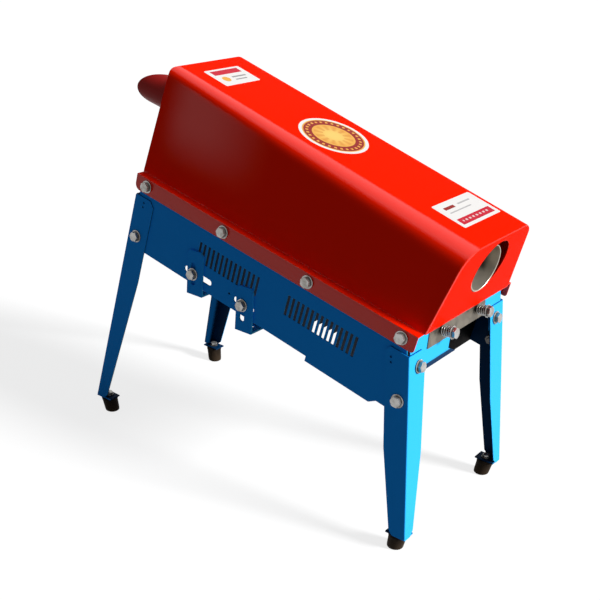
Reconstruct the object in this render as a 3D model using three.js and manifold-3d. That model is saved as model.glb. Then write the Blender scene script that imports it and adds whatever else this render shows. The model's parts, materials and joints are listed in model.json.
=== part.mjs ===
// Household corn sheller: a sheet steel box on four legs, a red cover, a ribbed drum and a feed pipe.
// Millimetres. X runs along the machine to the cob outlet, -Y is the front, +Z is up.
// The box and everything in it lean down towards the outlet, so most pieces are drawn square in the
// box's own frame, where z = 0 is the cover's ledge, and one group turns and lifts that frame.

import * as THREE from 'three';
import * as BufferGeometryUtils from 'three/addons/utils/BufferGeometryUtils.js';
import Module from 'manifold-3d';

const wasm = await Module();
wasm.setup();

// General clearances
const SEAT_GAP = 0.3;
const OVERRUN = 6;
const MERGE_DISTANCE = 0.0004;

// How the box stands
const TILT = THREE.MathUtils.degToRad(12.14);
const LEDGE_HEIGHT = 359.5;

// Sheets
const HOOD_SHEET = 1.4;
const PANEL_SHEET = 1.6;
const LEG_SHEET = 1.8;
const BRACKET_SHEET = 3;
const GALVANISED_SHEET = 1.5;

// The two sizes that the rest of the box follows
const HOOD_LENGTH = 500;
const PANEL_HALF_WIDTH = 119.7;
const HALF_LENGTH = HOOD_LENGTH / 2;

// Cover
const HOOD_LEDGE_WIDTH = 12.9;
const HOOD_LEDGE_HALF_WIDTH = PANEL_HALF_WIDTH + SEAT_GAP + HOOD_SHEET;
const HOOD_BASE_HALF_WIDTH = HOOD_LEDGE_HALF_WIDTH - HOOD_LEDGE_WIDTH;
const HOOD_FLANGE_DEPTH = 23.4;
const HOOD_FLANGE_CORNER = 10;
const HOOD_HEIGHT_FEED = 153.8;
const HOOD_HEIGHT_OUTLET = 113.8;
const HOOD_TAPER_FRONT_FEED = 24.2;
const HOOD_TAPER_FRONT_OUTLET = 16.3;
const HOOD_TAPER_REAR = 33.5;
const HOOD_TOP_FRONT_FEED = HOOD_BASE_HALF_WIDTH - HOOD_TAPER_FRONT_FEED;
const HOOD_TOP_FRONT_OUTLET = HOOD_BASE_HALF_WIDTH - HOOD_TAPER_FRONT_OUTLET;
const HOOD_TOP_REAR = HOOD_BASE_HALF_WIDTH - HOOD_TAPER_REAR;
const HOOD_BEND_FRONT_FEED = 28;
const HOOD_BEND_FRONT_OUTLET = 45;
const HOOD_BEND_REAR = 23;
const HOOD_OUTLET_LEAN_SHARE = 0.116;
const BEND_STEPS = 6;

// Cob outlet and feed pipe
const COB_HOLE_RADIUS = 38;
const COB_HOLE_Y = -2;
const COB_HOLE_Z = 69;
const OUTLET_TUBE_RADIUS = 33;
const OUTLET_TUBE_WALL = 1.5;
const OUTLET_TUBE_Y = -4.2;
const OUTLET_TUBE_Z = 65.3;
const OUTLET_TUBE_LENGTH = 62;
const OUTLET_TUBE_RECESS = 2.5;
const OUTLET_FOOT_WIDTH = 30;
const OUTLET_FOOT_LENGTH = 12;
const FEED_PIPE_RADIUS = 26.6;
const FEED_PIPE_WALL = 2;
const FEED_PIPE_Y = -4;
const FEED_PIPE_Z = 79.4;
const FEED_PIPE_REACH = 71.4;
const FEED_MITRE_SHARE = 1.474;
const FEED_MITRE_DROP_SHARE = 0.139;
const FEED_PIPE_INSIDE = 8;
const GUIDE_RADIUS = 28.5;
const GUIDE_WALL = 1.4;
const GUIDE_FROM_DEG = -5;
const GUIDE_TO_DEG = 185;

// Side panels
const FRONT_LEAN_SHARE = 0.045;
const REAR_LEAN_SHARE = 0.028;
const PANEL_TOP = 2;
const PANEL_DEPTH = 112.5;
const PANEL_END_GAP = 5;
const PANEL_LIP_LENGTH = 107;
const PANEL_LIP_INSET = 40;
const PANEL_LIP_TO = HALF_LENGTH - PANEL_LIP_INSET;
const PANEL_LIP_FROM = PANEL_LIP_TO - PANEL_LIP_LENGTH;
const PANEL_LIP_DEPTH = 7.5;
const PANEL_LIP_SLANT = 10;
const LOUVRE_WIDTH = 4.6;
const LOUVRE_TOP = 45;
const LOUVRE_HEIGHT = 30;
const LOUVRE_FIN_DEPTH = 5;
const LOUVRE_FIN_OVERLAP = 3;
const LOUVRE_OPEN_SHARE = 0.5;
const LOUVRE_FIN_SHEET = 1;
const LOUVRE_FEED_FROM = -108.5;
const LOUVRE_FEED_PITCH = 8.3;
const LOUVRE_OUTLET_FROM = 54.5;
const LOUVRE_OUTLET_PITCH = 8.1;
const LOUVRE_GROUPS = [
  { from: LOUVRE_FEED_FROM, count: 14, pitch: LOUVRE_FEED_PITCH, open: [] },
  { from: LOUVRE_OUTLET_FROM, count: 15, pitch: LOUVRE_OUTLET_PITCH, open: [6, 7, 8, 9, 10] },
];
const BRACKET_TRACK_DEPTH = 95.8;
const BRACKET_TRACK_WIDTH = 9;
const SMALL_HOLE_RADIUS = 2;
const SMALL_HOLE_X = -42.4;
const SMALL_HOLE_DEPTH = 93.1;

// Ends of the box
const LEG_FEED_INSET = 7.6;
const LEG_FEED_X = HALF_LENGTH - LEG_FEED_INSET;
const LEG_FEED_LEAN_SHARE = 0.0295;
const LEG_OUTLET_INSET = 14.3;
const LEG_OUTLET_X = HALF_LENGTH - LEG_OUTLET_INSET;
const LEG_OUTLET_LEAN_SHARE = 0.32;
const END_TOP = 4;
const END_DEPTH = 63.5;
const END_FOLD_DEPTH = 52;
const END_FOLD_LEAN_SHARE = 0.06;
const END_FOLD_FRONT_INSET = 33.7;
const END_FOLD_FRONT_Y = END_FOLD_FRONT_INSET - PANEL_HALF_WIDTH;
const END_BRIDGE_DEPTH = 36.5;
const OPENING_FRONT_Y = -20;
const OPENING_FOLD_Y = -26;
const OPENING_LIP_Y = -2;
const OPENING_REAR_INSET = 35.7;
const OPENING_REAR_Y = PANEL_HALF_WIDTH - OPENING_REAR_INSET;
const BEARING_TAB_HALF_WIDTH = 38;
const BEARING_TAB_TOP = 24;
const BEAM_INSET = 36.5;
const BEAM_X = HALF_LENGTH - BEAM_INSET;
const BEAM_SHEET = 3;
const BEAM_DEPTH = 62;
const CURTAIN_SHEET = 3;
const CURTAIN_TOP = 8;
const CURTAIN_DEPTH = 112;

// Sprung plate
const PRESSURE_PLATE_FRONT_INSET = 39.7;
const PRESSURE_PLATE_REAR_INSET = 49.7;
const PRESSURE_PLATE_FRONT = PRESSURE_PLATE_FRONT_INSET - PANEL_HALF_WIDTH;
const PRESSURE_PLATE_REAR = PANEL_HALF_WIDTH - PRESSURE_PLATE_REAR_INSET;
const PRESSURE_PLATE_TOP = 6;
const PRESSURE_PLATE_DEPTH = 34;
const PRESSURE_PLATE_CORNER = 8;
const SPRING_SCREW_INSET = 73.7;
const SPRING_SCREW_Y = PANEL_HALF_WIDTH - SPRING_SCREW_INSET;
const SPRING_SCREW_DEPTH = 20;
const SPRING_LENGTH = 15;
const SPRING_COIL_RADIUS = 6.6;
const SPRING_WIRE_RADIUS = 0.9;
const SPRING_CURLS = 4;
const SPRING_STEPS = 8;
const SPRING_SIDES = 5;
const SPRING_WASHER_RADIUS = 9;

// Legs
const LEG_BOTTOM = 24;
const LEG_TOP_DEPTH = 30;
const LEG_TOP_CORNER = 8;
const LEG_KNEE = 135;
const LEG_SIDE_WIDTH_TOP = 37;
const LEG_SIDE_WIDTH_FEED_BOTTOM = 22;
const LEG_SIDE_WIDTH_OUTLET_BOTTOM = 27;
const LEG_END_WIDTH_TOP = 38;
const LEG_END_WIDTH_KNEE = 34;
const LEG_END_WIDTH_BOTTOM = 20;
const LEG_TOE_CORNER = 7;
const LEG_TAB_SHEET = 2;
const LEG_TAB_LENGTH = 31;
const LEG_TAB_WIDTH = 21;

// Feet
const FOOT_INSET_X = 17;
const FOOT_INSET_Y = 11.5;
const FOOT_LEAN_X = 4.5;
const FOOT_LEAN_Y = 2;
const FOOT_TOP_RADIUS = 12.6;
const FOOT_BOTTOM_RADIUS = 11.2;
const FOOT_EDGE = 1.5;
const FOOT_HOLE_DEPTH = 14;

// Fasteners
const M8 = { shank: 4, flats: 13, head: 5.3, nut: 6.5, washer: 10.5, washerSheet: 1.6, tail: 2 };
const M6 = { shank: 3, flats: 10, head: 4, nut: 5, washer: 7, washerSheet: 1.2, tail: 0 };
const HOLE_GAP = 0.4;
const FLANGE_BOLT_FEED_INSET = 25;
const FLANGE_BOLT_OUTLET_INSET = 23.2;
const FLANGE_BOLT_COUNT = 4;
const FLANGE_BOLT_FROM = FLANGE_BOLT_FEED_INSET - HALF_LENGTH;
const FLANGE_BOLT_RUN = HOOD_LENGTH - FLANGE_BOLT_FEED_INSET - FLANGE_BOLT_OUTLET_INSET;
const FLANGE_BOLT_PITCH = FLANGE_BOLT_RUN / (FLANGE_BOLT_COUNT - 1);
const FLANGE_BOLT_DEPTH = 11.8;
const LEG_SIDE_BOLT_FEED_INSET = 21.5;
const LEG_SIDE_BOLT_OUTLET_INSET = 0.8;
const LEG_SIDE_BOLT_FEED_X = LEG_SIDE_BOLT_FEED_INSET - HALF_LENGTH;
const LEG_SIDE_BOLT_OUTLET_X = HALF_LENGTH - LEG_SIDE_BOLT_OUTLET_INSET;
const LEG_SIDE_BOLT_DEPTH = 93;
const LEG_END_BOLT_INSET = 18.7;
const LEG_END_BOLT_Y = PANEL_HALF_WIDTH - LEG_END_BOLT_INSET;
const LEG_END_BOLT_DEPTH = 48.5;

// Motor hangers
const BRACKET_LEFT_X = -109.3;
const BRACKET_LEFT_RISE = 0.5;
const TRACK_LEFT_FROM = -129;
const TRACK_LEFT_LENGTH = 53;
const BRACKET_RIGHT_X = -14;
const BRACKET_RIGHT_RISE = -7.1;
const TRACK_RIGHT_FROM = -33;
const TRACK_RIGHT_LENGTH = 38;
const BRACKETS = [
  { name: 'left', x: BRACKET_LEFT_X, rise: BRACKET_LEFT_RISE, from: TRACK_LEFT_FROM, length: TRACK_LEFT_LENGTH },
  { name: 'right', x: BRACKET_RIGHT_X, rise: BRACKET_RIGHT_RISE, from: TRACK_RIGHT_FROM, length: TRACK_RIGHT_LENGTH },
];
const BRACKET_WIDTH = 29;
const BRACKET_HEIGHT = 66;
const BRACKET_SLOT_LENGTH = 34;
const BRACKET_SLOT_LEFT = 3.5;
const BRACKET_SLOT_DROP = 1.5;
const BRACKET_SLOT_WIDTH = 9;
const BRACKET_CORNER = 5;
const BRACKET_SHELF = 29;
const BRACKET_SHELF_HOLE_RADIUS = 4.5;

// Rotor
const ROTOR_Y = 5;
const ROTOR_Z = -12;
const SHAFT_RADIUS = 10;
const SHAFT_FEED_REACH = 41;
const SHAFT_FEED_END = HALF_LENGTH + SHAFT_FEED_REACH;
const SHAFT_OUTLET_INSET = 38;
const SHAFT_OUTLET_END = HALF_LENGTH - SHAFT_OUTLET_INSET;
const DRUM_FEED_INSET = 40;
const DRUM_OUTLET_INSET = 62;
const DRUM_FROM = DRUM_FEED_INSET - HALF_LENGTH;
const DRUM_TO = HALF_LENGTH - DRUM_OUTLET_INSET;
const DRUM_RADIUS = 47;
const DRUM_BAR_HEIGHT = 8;
const DRUM_BAR_HALF_ANGLE_DEG = 7;
const DRUM_BARS = 6;
const DRUM_TWIST_TURNS = 0.5;
const DRUM_TWIST_STEPS = 12;
const DRUM_WALL = 3;
const DRUM_END_PLATE = 4;
const DRUM_WINDOW_RADIUS = 9;
const DRUM_WINDOW_CIRCLE = 27;
const PULLEY_RADIUS = 44;
const PULLEY_WIDTH = 18;
const PULLEY_GROOVE = 9;
const PULLEY_HUB_RADIUS = 18;
const PULLEY_HUB_LENGTH = 26;
const PULLEY_WEB = 7;
const PULLEY_RIM = 5;
const PULLEY_REACH = 14;
const PULLEY_X = -HALF_LENGTH - PULLEY_REACH;
const SHAFT_NUT_FLATS = 30;
const SHAFT_NUT_LENGTH = 8;
const BEARING_RADIUS = 24;
const BEARING_WIDTH = 12;
const HOUSING_RADIUS = 31;
const HOUSING_LENGTH = 16;
const HOUSING_PLATE = 5;
const HOUSING_HALF_SIDE = 34;
const HOUSING_FEED_INSET = 12.7;
const HOUSING_FEED_X = HOUSING_FEED_INSET - HALF_LENGTH;

// Screen
const SCREEN_RADIUS = 60;
const SCREEN_SHEET = 2;
const SCREEN_END_GAP = 3;
const SCREEN_FROM = DRUM_FROM - SCREEN_END_GAP;
const SCREEN_TO = DRUM_TO + SCREEN_END_GAP;
const SCREEN_SLOTS = 8;
const SCREEN_RIB = 12;
const SCREEN_ARC_STEPS = 15;
const SCREEN_BAR_ANGLES_DEG = [204, 237, 270, 303, 336];
const SCREEN_BAR_HALF_ANGLE_DEG = 5;
const SCREEN_RIM = 12;
const SCREEN_FLANGE_DROP = 12;

// Finishes
const finish = (color, roughness, metalness) => new THREE.MeshStandardMaterial({ color, roughness, metalness });
const RED_PAINT = finish(0xe02408, 0.35, 0);
const BLUE_PAINT = finish(0x1f8fdc, 0.4, 0);
const ZINC = finish(0xb9bcbb, 0.32, 1);
const GALVANISED = finish(0xa39c8c, 0.45, 1);
const STEEL = finish(0x6d6f70, 0.45, 1);
const BLACK_RUBBER = finish(0x171514, 0.75, 0);
const CAST_IRON = finish(0x35383b, 0.6, 1);

// The box's frame in the floor's frame, and back
const BOX_TO_FLOOR = new THREE.Matrix4().makeRotationY(TILT).setPosition(0, 0, LEDGE_HEIGHT);
const FLOOR_TO_BOX = BOX_TO_FLOOR.clone().invert();

const X = new THREE.Vector3(1, 0, 0);
const Y = new THREE.Vector3(0, 1, 0);
const Z = new THREE.Vector3(0, 0, 1);

// The four sides of the box: out is the level direction that a side faces, and a side leans out by
// lean times the depth below the ledge.
const SIDES = {
  front: { out: new THREE.Vector3(0, -1, 0), along: X, lean: FRONT_LEAN_SHARE },
  rear: { out: new THREE.Vector3(0, 1, 0), along: X, lean: REAR_LEAN_SHARE },
  feed: { out: new THREE.Vector3(-1, 0, 0), along: Y, lean: LEG_FEED_LEAN_SHARE },
  outlet: { out: new THREE.Vector3(1, 0, 0), along: Y, lean: LEG_OUTLET_LEAN_SHARE },
};

// A closed solid from a geometry, for cutting and joining
function solid(geometry) {
  const bare = geometry.clone();
  bare.deleteAttribute('normal');
  bare.deleteAttribute('uv');
  const merged = BufferGeometryUtils.mergeVertices(bare, MERGE_DISTANCE);
  const vertProperties = new Float32Array(merged.attributes.position.array);
  const triVerts = new Uint32Array(merged.index.array);
  return new wasm.Manifold(new wasm.Mesh({ numProp: 3, vertProperties, triVerts }));
}

// A geometry from a closed solid
function geometryOf(body) {
  const mesh = body.getMesh();
  const geometry = new THREE.BufferGeometry();
  geometry.setAttribute('position', new THREE.BufferAttribute(new Float32Array(mesh.vertProperties), 3));
  geometry.setIndex(Array.from(mesh.triVerts));
  return geometry;
}

// The geometry moved by a matrix, with its faces still pointing out if the matrix mirrors it
function moved(geometry, matrix) {
  const result = geometry.clone().applyMatrix4(matrix);
  if (matrix.determinant() < 0) {
    const flat = result.index ? result.toNonIndexed() : result;
    const points = flat.attributes.position;
    for (let i = 0; i < points.count; i += 3) {
      const a = new THREE.Vector3().fromBufferAttribute(points, i);
      const b = new THREE.Vector3().fromBufferAttribute(points, i + 1);
      points.setXYZ(i, b.x, b.y, b.z);
      points.setXYZ(i + 1, a.x, a.y, a.z);
    }
    return flat;
  }
  return result;
}

// A solid of triangles with its faces turned outwards
function closedSolid(points, triangles) {
  const geometry = new THREE.BufferGeometry();
  geometry.setAttribute('position', new THREE.Float32BufferAttribute(points.flatMap((p) => p.toArray()), 3));
  let volume = 0;
  for (const [a, b, c] of triangles) {
    volume += points[a].dot(points[b].clone().cross(points[c]));
  }
  const turned = volume < 0 ? triangles.map(([a, b, c]) => [a, c, b]) : triangles;
  geometry.setIndex(turned.flat());
  return geometry;
}

// Triangles that fill an outline, each wound the way the outline is
function filling(outline) {
  const wound = THREE.ShapeUtils.isClockWise(outline);
  return THREE.ShapeUtils.triangulateShape(outline, []).map((face) => {
    const same = THREE.ShapeUtils.isClockWise(face.map((i) => outline[i])) === wound;
    return same ? face : [...face].reverse();
  });
}

// A solid between section outlines of equal counts, capped at both ends
function loft(sections, capAxes) {
  const count = sections[0].length;
  const triangles = [];
  for (let s = 0; s + 1 < sections.length; s += 1) {
    for (let i = 0; i < count; i += 1) {
      const a = s * count + i;
      const b = s * count + ((i + 1) % count);
      triangles.push([a, b, b + count], [a, b + count, a + count]);
    }
  }
  const flat = (section) => section.map((p) => new THREE.Vector2(p[capAxes[0]], p[capAxes[1]]));
  const last = (sections.length - 1) * count;
  for (const [a, b, c] of filling(flat(sections[0]))) {
    triangles.push([c, b, a]);
  }
  for (const [a, b, c] of filling(flat(sections.at(-1)))) {
    triangles.push([last + a, last + b, last + c]);
  }
  return closedSolid(sections.flat(), triangles);
}

const join = (bodies) => bodies.reduce((sum, body) => sum.add(body));
const cut = (body, tools) => tools.reduce((rest, tool) => rest.subtract(tool), body);

function box(x, y, z) {
  const geometry = new THREE.BoxGeometry(x[1] - x[0], y[1] - y[0], z[1] - z[0]);
  geometry.translate((x[0] + x[1]) / 2, (y[0] + y[1]) / 2, (z[0] + z[1]) / 2);
  return solid(geometry);
}

// A round bar along +Z from one height to another
function bar(radius, from, to, sides, topRadius = radius) {
  const geometry = new THREE.CylinderGeometry(topRadius, radius, to - from, sides);
  geometry.rotateX(Math.PI / 2);
  geometry.translate(0, 0, (from + to) / 2);
  return geometry;
}

// A round bar along X about a line at the given y and z
function barAlongX(radius, from, to, y, z, sides) {
  const geometry = bar(radius, from, to, sides);
  geometry.rotateY(Math.PI / 2);
  geometry.translate(0, y, z);
  return solid(geometry);
}

function polygon(points) {
  return new THREE.Shape(points.map(([a, b]) => new THREE.Vector2(a, b)));
}

function roundSlot(x, y, length, width, upright = false) {
  const half = (length - width) / 2;
  const path = new THREE.Path();
  if (upright) {
    path.absarc(x, y + half, width / 2, 0, Math.PI, false);
    path.absarc(x, y - half, width / 2, Math.PI, 2 * Math.PI, false);
  } else {
    path.absarc(x + half, y, width / 2, -Math.PI / 2, Math.PI / 2, false);
    path.absarc(x - half, y, width / 2, Math.PI / 2, (3 * Math.PI) / 2, false);
  }
  path.closePath();
  return path;
}

function roundHole(x, y, radius) {
  const path = new THREE.Path();
  path.absarc(x, y, radius, 0, 2 * Math.PI, false);
  return path;
}

// The matrix that lays a drawing of (along, height, thickness) on a side of the box
function sideMatrix(side, distance) {
  const up = Z.clone().addScaledVector(side.out, -side.lean);
  const matrix = new THREE.Matrix4().makeBasis(side.along, up, side.out);
  return matrix.setPosition(side.out.clone().multiplyScalar(distance));
}

// A flat sheet on a side of the box, its outline given as (along, height)
function sideSheet(side, shape, distance, sheet, curveSegments = 3) {
  const geometry = new THREE.ExtrudeGeometry(shape, { depth: sheet, bevelEnabled: false, curveSegments });
  return solid(moved(geometry, sideMatrix(side, distance)));
}

// Where a point of a side lies, and which way the side faces there
function sidePlace(side, along, height, distance) {
  const point = side.along.clone().multiplyScalar(along);
  point.addScaledVector(Z, height);
  point.addScaledVector(side.out, distance - side.lean * height);
  const normal = side.out.clone().addScaledVector(Z, side.lean).normalize();
  return { point, normal };
}

function placeMatrix({ point, normal }) {
  const turn = new THREE.Quaternion().setFromUnitVectors(Z, normal);
  return new THREE.Matrix4().makeRotationFromQuaternion(turn).setPosition(point);
}

// A hole square to a side
function sideHole(side, along, height, radius) {
  const place = sidePlace(side, along, height, side === SIDES.outlet ? LEG_OUTLET_X : PANEL_HALF_WIDTH);
  if (side === SIDES.feed) {
    place.point = sidePlace(side, along, height, LEG_FEED_X).point;
  }
  return solid(moved(bar(radius, -2 * OVERRUN, 2 * OVERRUN, 10), placeMatrix(place)));
}

function hexagon(flats, from, to) {
  const geometry = bar(flats / Math.sqrt(3), from, to, 6);
  return solid(geometry);
}

// A hexagon bolt along +Z with its washer outside z = 0 and its nut inside the grip
function bolt(size, grip, { nut = true, length = 0, standOff = 0, washer = size.washer } = {}) {
  const seat = SEAT_GAP + standOff;
  const top = seat + size.washerSheet;
  const tail = nut ? grip + SEAT_GAP + size.nut + size.tail : length;
  const pieces = [
    solid(bar(washer, seat, top, 14)),
    hexagon(size.flats, top - size.washerSheet / 2, top + size.head),
    solid(bar(size.shank, -tail, top, 6)),
  ];
  if (nut) {
    pieces.push(hexagon(size.flats, -grip - SEAT_GAP - size.nut, -grip - SEAT_GAP));
  }
  return geometryOf(join(pieces));
}

// A bolt on a side of the box, its washer on the sheet whose outer face is at the distance
function sideBolt(name, side, along, height, distance, grip, material = ZINC) {
  const mesh = named(name, bolt(M8, grip), material);
  const place = sidePlace(side, along, height, distance);
  mesh.position.copy(place.point);
  mesh.quaternion.setFromUnitVectors(Z, place.normal);
  return mesh;
}

function named(name, geometry, material) {
  const mesh = new THREE.Mesh(geometry, material);
  mesh.name = name;
  return mesh;
}

// Points of a round bend at a corner, from the first leg's tangent to the second's
function bend(corner, first, second, radius, steps) {
  const half = first.angleTo(second) / 2;
  const reach = radius / Math.tan(half);
  const middle = first.clone().add(second).normalize();
  const centre = corner.clone().addScaledVector(middle, radius / Math.sin(half));
  const start = corner.clone().addScaledVector(first, reach).sub(centre);
  const end = corner.clone().addScaledVector(second, reach).sub(centre);
  let sweep = end.angle() - start.angle();
  sweep -= 2 * Math.PI * Math.round(sweep / (2 * Math.PI));
  const points = [];
  for (let i = 0; i <= steps; i += 1) {
    const angle = start.angle() + (sweep * i) / steps;
    points.push(new THREE.Vector2(Math.cos(angle), Math.sin(angle)).multiplyScalar(radius).add(centre));
  }
  return points;
}

// One wall line of the cover, moved in by the sheet
function wallAt(baseHalf, topHalf, height, inset, z) {
  const slope = (baseHalf - topHalf) / height;
  return baseHalf - slope * z - inset * Math.hypot(1, slope);
}

// The cover's section (y, z) at one end
function hoodOutline(height, topFront, bendFront, inset, base) {
  const top = height - inset;
  const front = (z) => -wallAt(HOOD_BASE_HALF_WIDTH, topFront, height, inset, z);
  const rear = (z) => wallAt(HOOD_BASE_HALF_WIDTH, HOOD_TOP_REAR, height, inset, z);
  const corners = [
    new THREE.Vector2(front(base), base),
    new THREE.Vector2(front(top), top),
    new THREE.Vector2(rear(top), top),
    new THREE.Vector2(rear(base), base),
  ];
  const level = new THREE.Vector2(1, 0);
  const downFront = corners[0].clone().sub(corners[1]).normalize();
  const downRear = corners[3].clone().sub(corners[2]).normalize();
  return [
    corners[0],
    ...bend(corners[1], downFront, level, bendFront - inset, BEND_STEPS),
    ...bend(corners[2], level.clone().negate(), downRear, HOOD_BEND_REAR - inset, BEND_STEPS),
    corners[3],
  ];
}

// The cover's solid block, moved in by the sheet on every wall
function hoodBlock(inset, base) {
  const feed = hoodOutline(HOOD_HEIGHT_FEED, HOOD_TOP_FRONT_FEED, HOOD_BEND_FRONT_FEED, inset, base);
  const outlet = hoodOutline(HOOD_HEIGHT_OUTLET, HOOD_TOP_FRONT_OUTLET, HOOD_BEND_FRONT_OUTLET, inset, base);
  const half = HOOD_LENGTH / 2;
  const feedX = -half + inset;
  const outletX = (z) => half - inset + HOOD_OUTLET_LEAN_SHARE * z;
  return solid(loft([
    feed.map((p) => new THREE.Vector3(feedX, p.x, p.y)),
    outlet.map((p) => new THREE.Vector3(outletX(p.y), p.x, p.y)),
  ], ['y', 'z']));
}

const flangeBoltX = Array.from({ length: FLANGE_BOLT_COUNT }, (_, i) => FLANGE_BOLT_FROM + i * FLANGE_BOLT_PITCH);

function hoodFlange(side) {
  const half = HOOD_LENGTH / 2;
  const outline = polygon([
    [-half, 0],
    [-half, -HOOD_FLANGE_DEPTH + HOOD_FLANGE_CORNER],
    [-half + HOOD_FLANGE_CORNER / 3, -HOOD_FLANGE_DEPTH + HOOD_FLANGE_CORNER / 3],
    [-half + HOOD_FLANGE_CORNER, -HOOD_FLANGE_DEPTH],
    [half - HOOD_FLANGE_CORNER / 2, -HOOD_FLANGE_DEPTH],
    [half - HOOD_SHEET, 0],
  ]);
  const distance = PANEL_HALF_WIDTH + SEAT_GAP;
  const sheet = sideSheet(side, outline, distance, HOOD_SHEET);
  return cut(sheet, flangeBoltX.map((x) => sideHole(side, x, -FLANGE_BOLT_DEPTH, M8.shank + HOLE_GAP)));
}

function hood() {
  const half = HOOD_LENGTH / 2;
  const ledge = box(
    [-half, half - HOOD_SHEET],
    [-HOOD_LEDGE_HALF_WIDTH, HOOD_LEDGE_HALF_WIDTH],
    [-HOOD_SHEET, 0],
  );
  const shell = join([hoodBlock(0, -HOOD_SHEET), ledge, hoodFlange(SIDES.front), hoodFlange(SIDES.rear)]);
  const cobHole = barAlongX(COB_HOLE_RADIUS, half - 2 * OVERRUN, half + 4 * OVERRUN, COB_HOLE_Y, COB_HOLE_Z, 36);
  const feedRadius = FEED_PIPE_RADIUS + SEAT_GAP;
  const feedHole = barAlongX(feedRadius, -half - OVERRUN, -half + OVERRUN, FEED_PIPE_Y, FEED_PIPE_Z, 28);
  return named('hood', geometryOf(cut(shell, [hoodBlock(HOOD_SHEET, -HOOD_SHEET - OVERRUN), cobHole, feedHole])), RED_PAINT);
}

function feedSpout() {
  const half = HOOD_LENGTH / 2;
  const inner = -half + FEED_PIPE_INSIDE;
  const across = FEED_PIPE_RADIUS + OVERRUN;
  const front = -half - FEED_PIPE_REACH - FEED_MITRE_SHARE * across;
  const rear = -half - FEED_PIPE_REACH + FEED_MITRE_SHARE * across;
  const far = front - OVERRUN;
  const outer = barAlongX(FEED_PIPE_RADIUS, far, inner, FEED_PIPE_Y, FEED_PIPE_Z, 28);
  const boreRadius = FEED_PIPE_RADIUS - FEED_PIPE_WALL;
  const bore = barAlongX(boreRadius, far - OVERRUN, inner + OVERRUN, FEED_PIPE_Y, FEED_PIPE_Z, 28);
  const wedge = (z, shift) => [
    new THREE.Vector3(front + shift, FEED_PIPE_Y - across, z),
    new THREE.Vector3(rear + shift, FEED_PIPE_Y + across, z),
    new THREE.Vector3(far - 2 * OVERRUN, FEED_PIPE_Y + across, z),
    new THREE.Vector3(far - 2 * OVERRUN, FEED_PIPE_Y - across, z),
  ];
  const drop = FEED_MITRE_DROP_SHARE * across;
  const mouth = loft([wedge(FEED_PIPE_Z - across, -drop), wedge(FEED_PIPE_Z + across, drop)], ['x', 'y']);
  return named('feed_spout', geometryOf(cut(outer, [bore, solid(mouth)])), RED_PAINT);
}

const outletMouthX = HOOD_LENGTH / 2 + HOOD_OUTLET_LEAN_SHARE * OUTLET_TUBE_Z - OUTLET_TUBE_RECESS;

function outletTube() {
  const from = outletMouthX - OUTLET_TUBE_LENGTH;
  const tube = barAlongX(OUTLET_TUBE_RADIUS, from, outletMouthX, OUTLET_TUBE_Y, OUTLET_TUBE_Z, 32);
  const bore = barAlongX(
    OUTLET_TUBE_RADIUS - OUTLET_TUBE_WALL,
    from - OVERRUN,
    outletMouthX + OVERRUN,
    OUTLET_TUBE_Y,
    OUTLET_TUBE_Z,
    32,
  );
  const footTop = OUTLET_TUBE_Z - OUTLET_TUBE_RADIUS * Math.cos(Math.asin(OUTLET_FOOT_WIDTH / 2 / OUTLET_TUBE_RADIUS));
  const foot = box(
    [BEAM_X + BEAM_SHEET - OUTLET_FOOT_LENGTH, BEAM_X + BEAM_SHEET],
    [OUTLET_TUBE_Y - OUTLET_FOOT_WIDTH / 2, OUTLET_TUBE_Y + OUTLET_FOOT_WIDTH / 2],
    [BEARING_TAB_TOP + SEAT_GAP, footTop],
  );
  return named('outlet_tube', geometryOf(cut(join([tube, foot]), [bore])), GALVANISED);
}

// The upper guide that keeps the ears on the drum between the feed pipe and the outlet tube
function earGuide() {
  const from = -HOOD_LENGTH / 2 + FEED_PIPE_INSIDE + SEAT_GAP;
  const to = outletMouthX - OUTLET_TUBE_LENGTH - SEAT_GAP;
  const a = THREE.MathUtils.degToRad(GUIDE_FROM_DEG);
  const b = THREE.MathUtils.degToRad(GUIDE_TO_DEG);
  const section = (x, y, z) => {
    const points = [];
    for (const [radius, start, end] of [[GUIDE_RADIUS, a, b], [GUIDE_RADIUS - GUIDE_WALL, b, a]]) {
      for (let i = 0; i <= 2 * BEND_STEPS; i += 1) {
        const angle = start + ((end - start) * i) / (2 * BEND_STEPS);
        points.push(new THREE.Vector3(x, y + radius * Math.cos(angle), z + radius * Math.sin(angle)));
      }
    }
    return points;
  };
  const sections = [section(from, FEED_PIPE_Y, FEED_PIPE_Z), section(to, OUTLET_TUBE_Y, OUTLET_TUBE_Z)];
  return named('ear_guide', loft(sections, ['y', 'z']), GALVANISED);
}

const outletPanelX = (height, gap) => LEG_OUTLET_X - gap - LEG_OUTLET_LEAN_SHARE * height;
const feedPanelX = (height, gap) => -LEG_FEED_X + gap + LEG_FEED_LEAN_SHARE * height;

// The middle of each louvre, and how much of its height the blade behind it covers
function louvres() {
  return LOUVRE_GROUPS.flatMap(({ from, count, pitch, open }) =>
    Array.from({ length: count }, (_, i) => ({
      x: from + i * pitch,
      covered: open.includes(i) ? LOUVRE_OPEN_SHARE * LOUVRE_HEIGHT : LOUVRE_HEIGHT + LOUVRE_FIN_OVERLAP,
    })));
}

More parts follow.
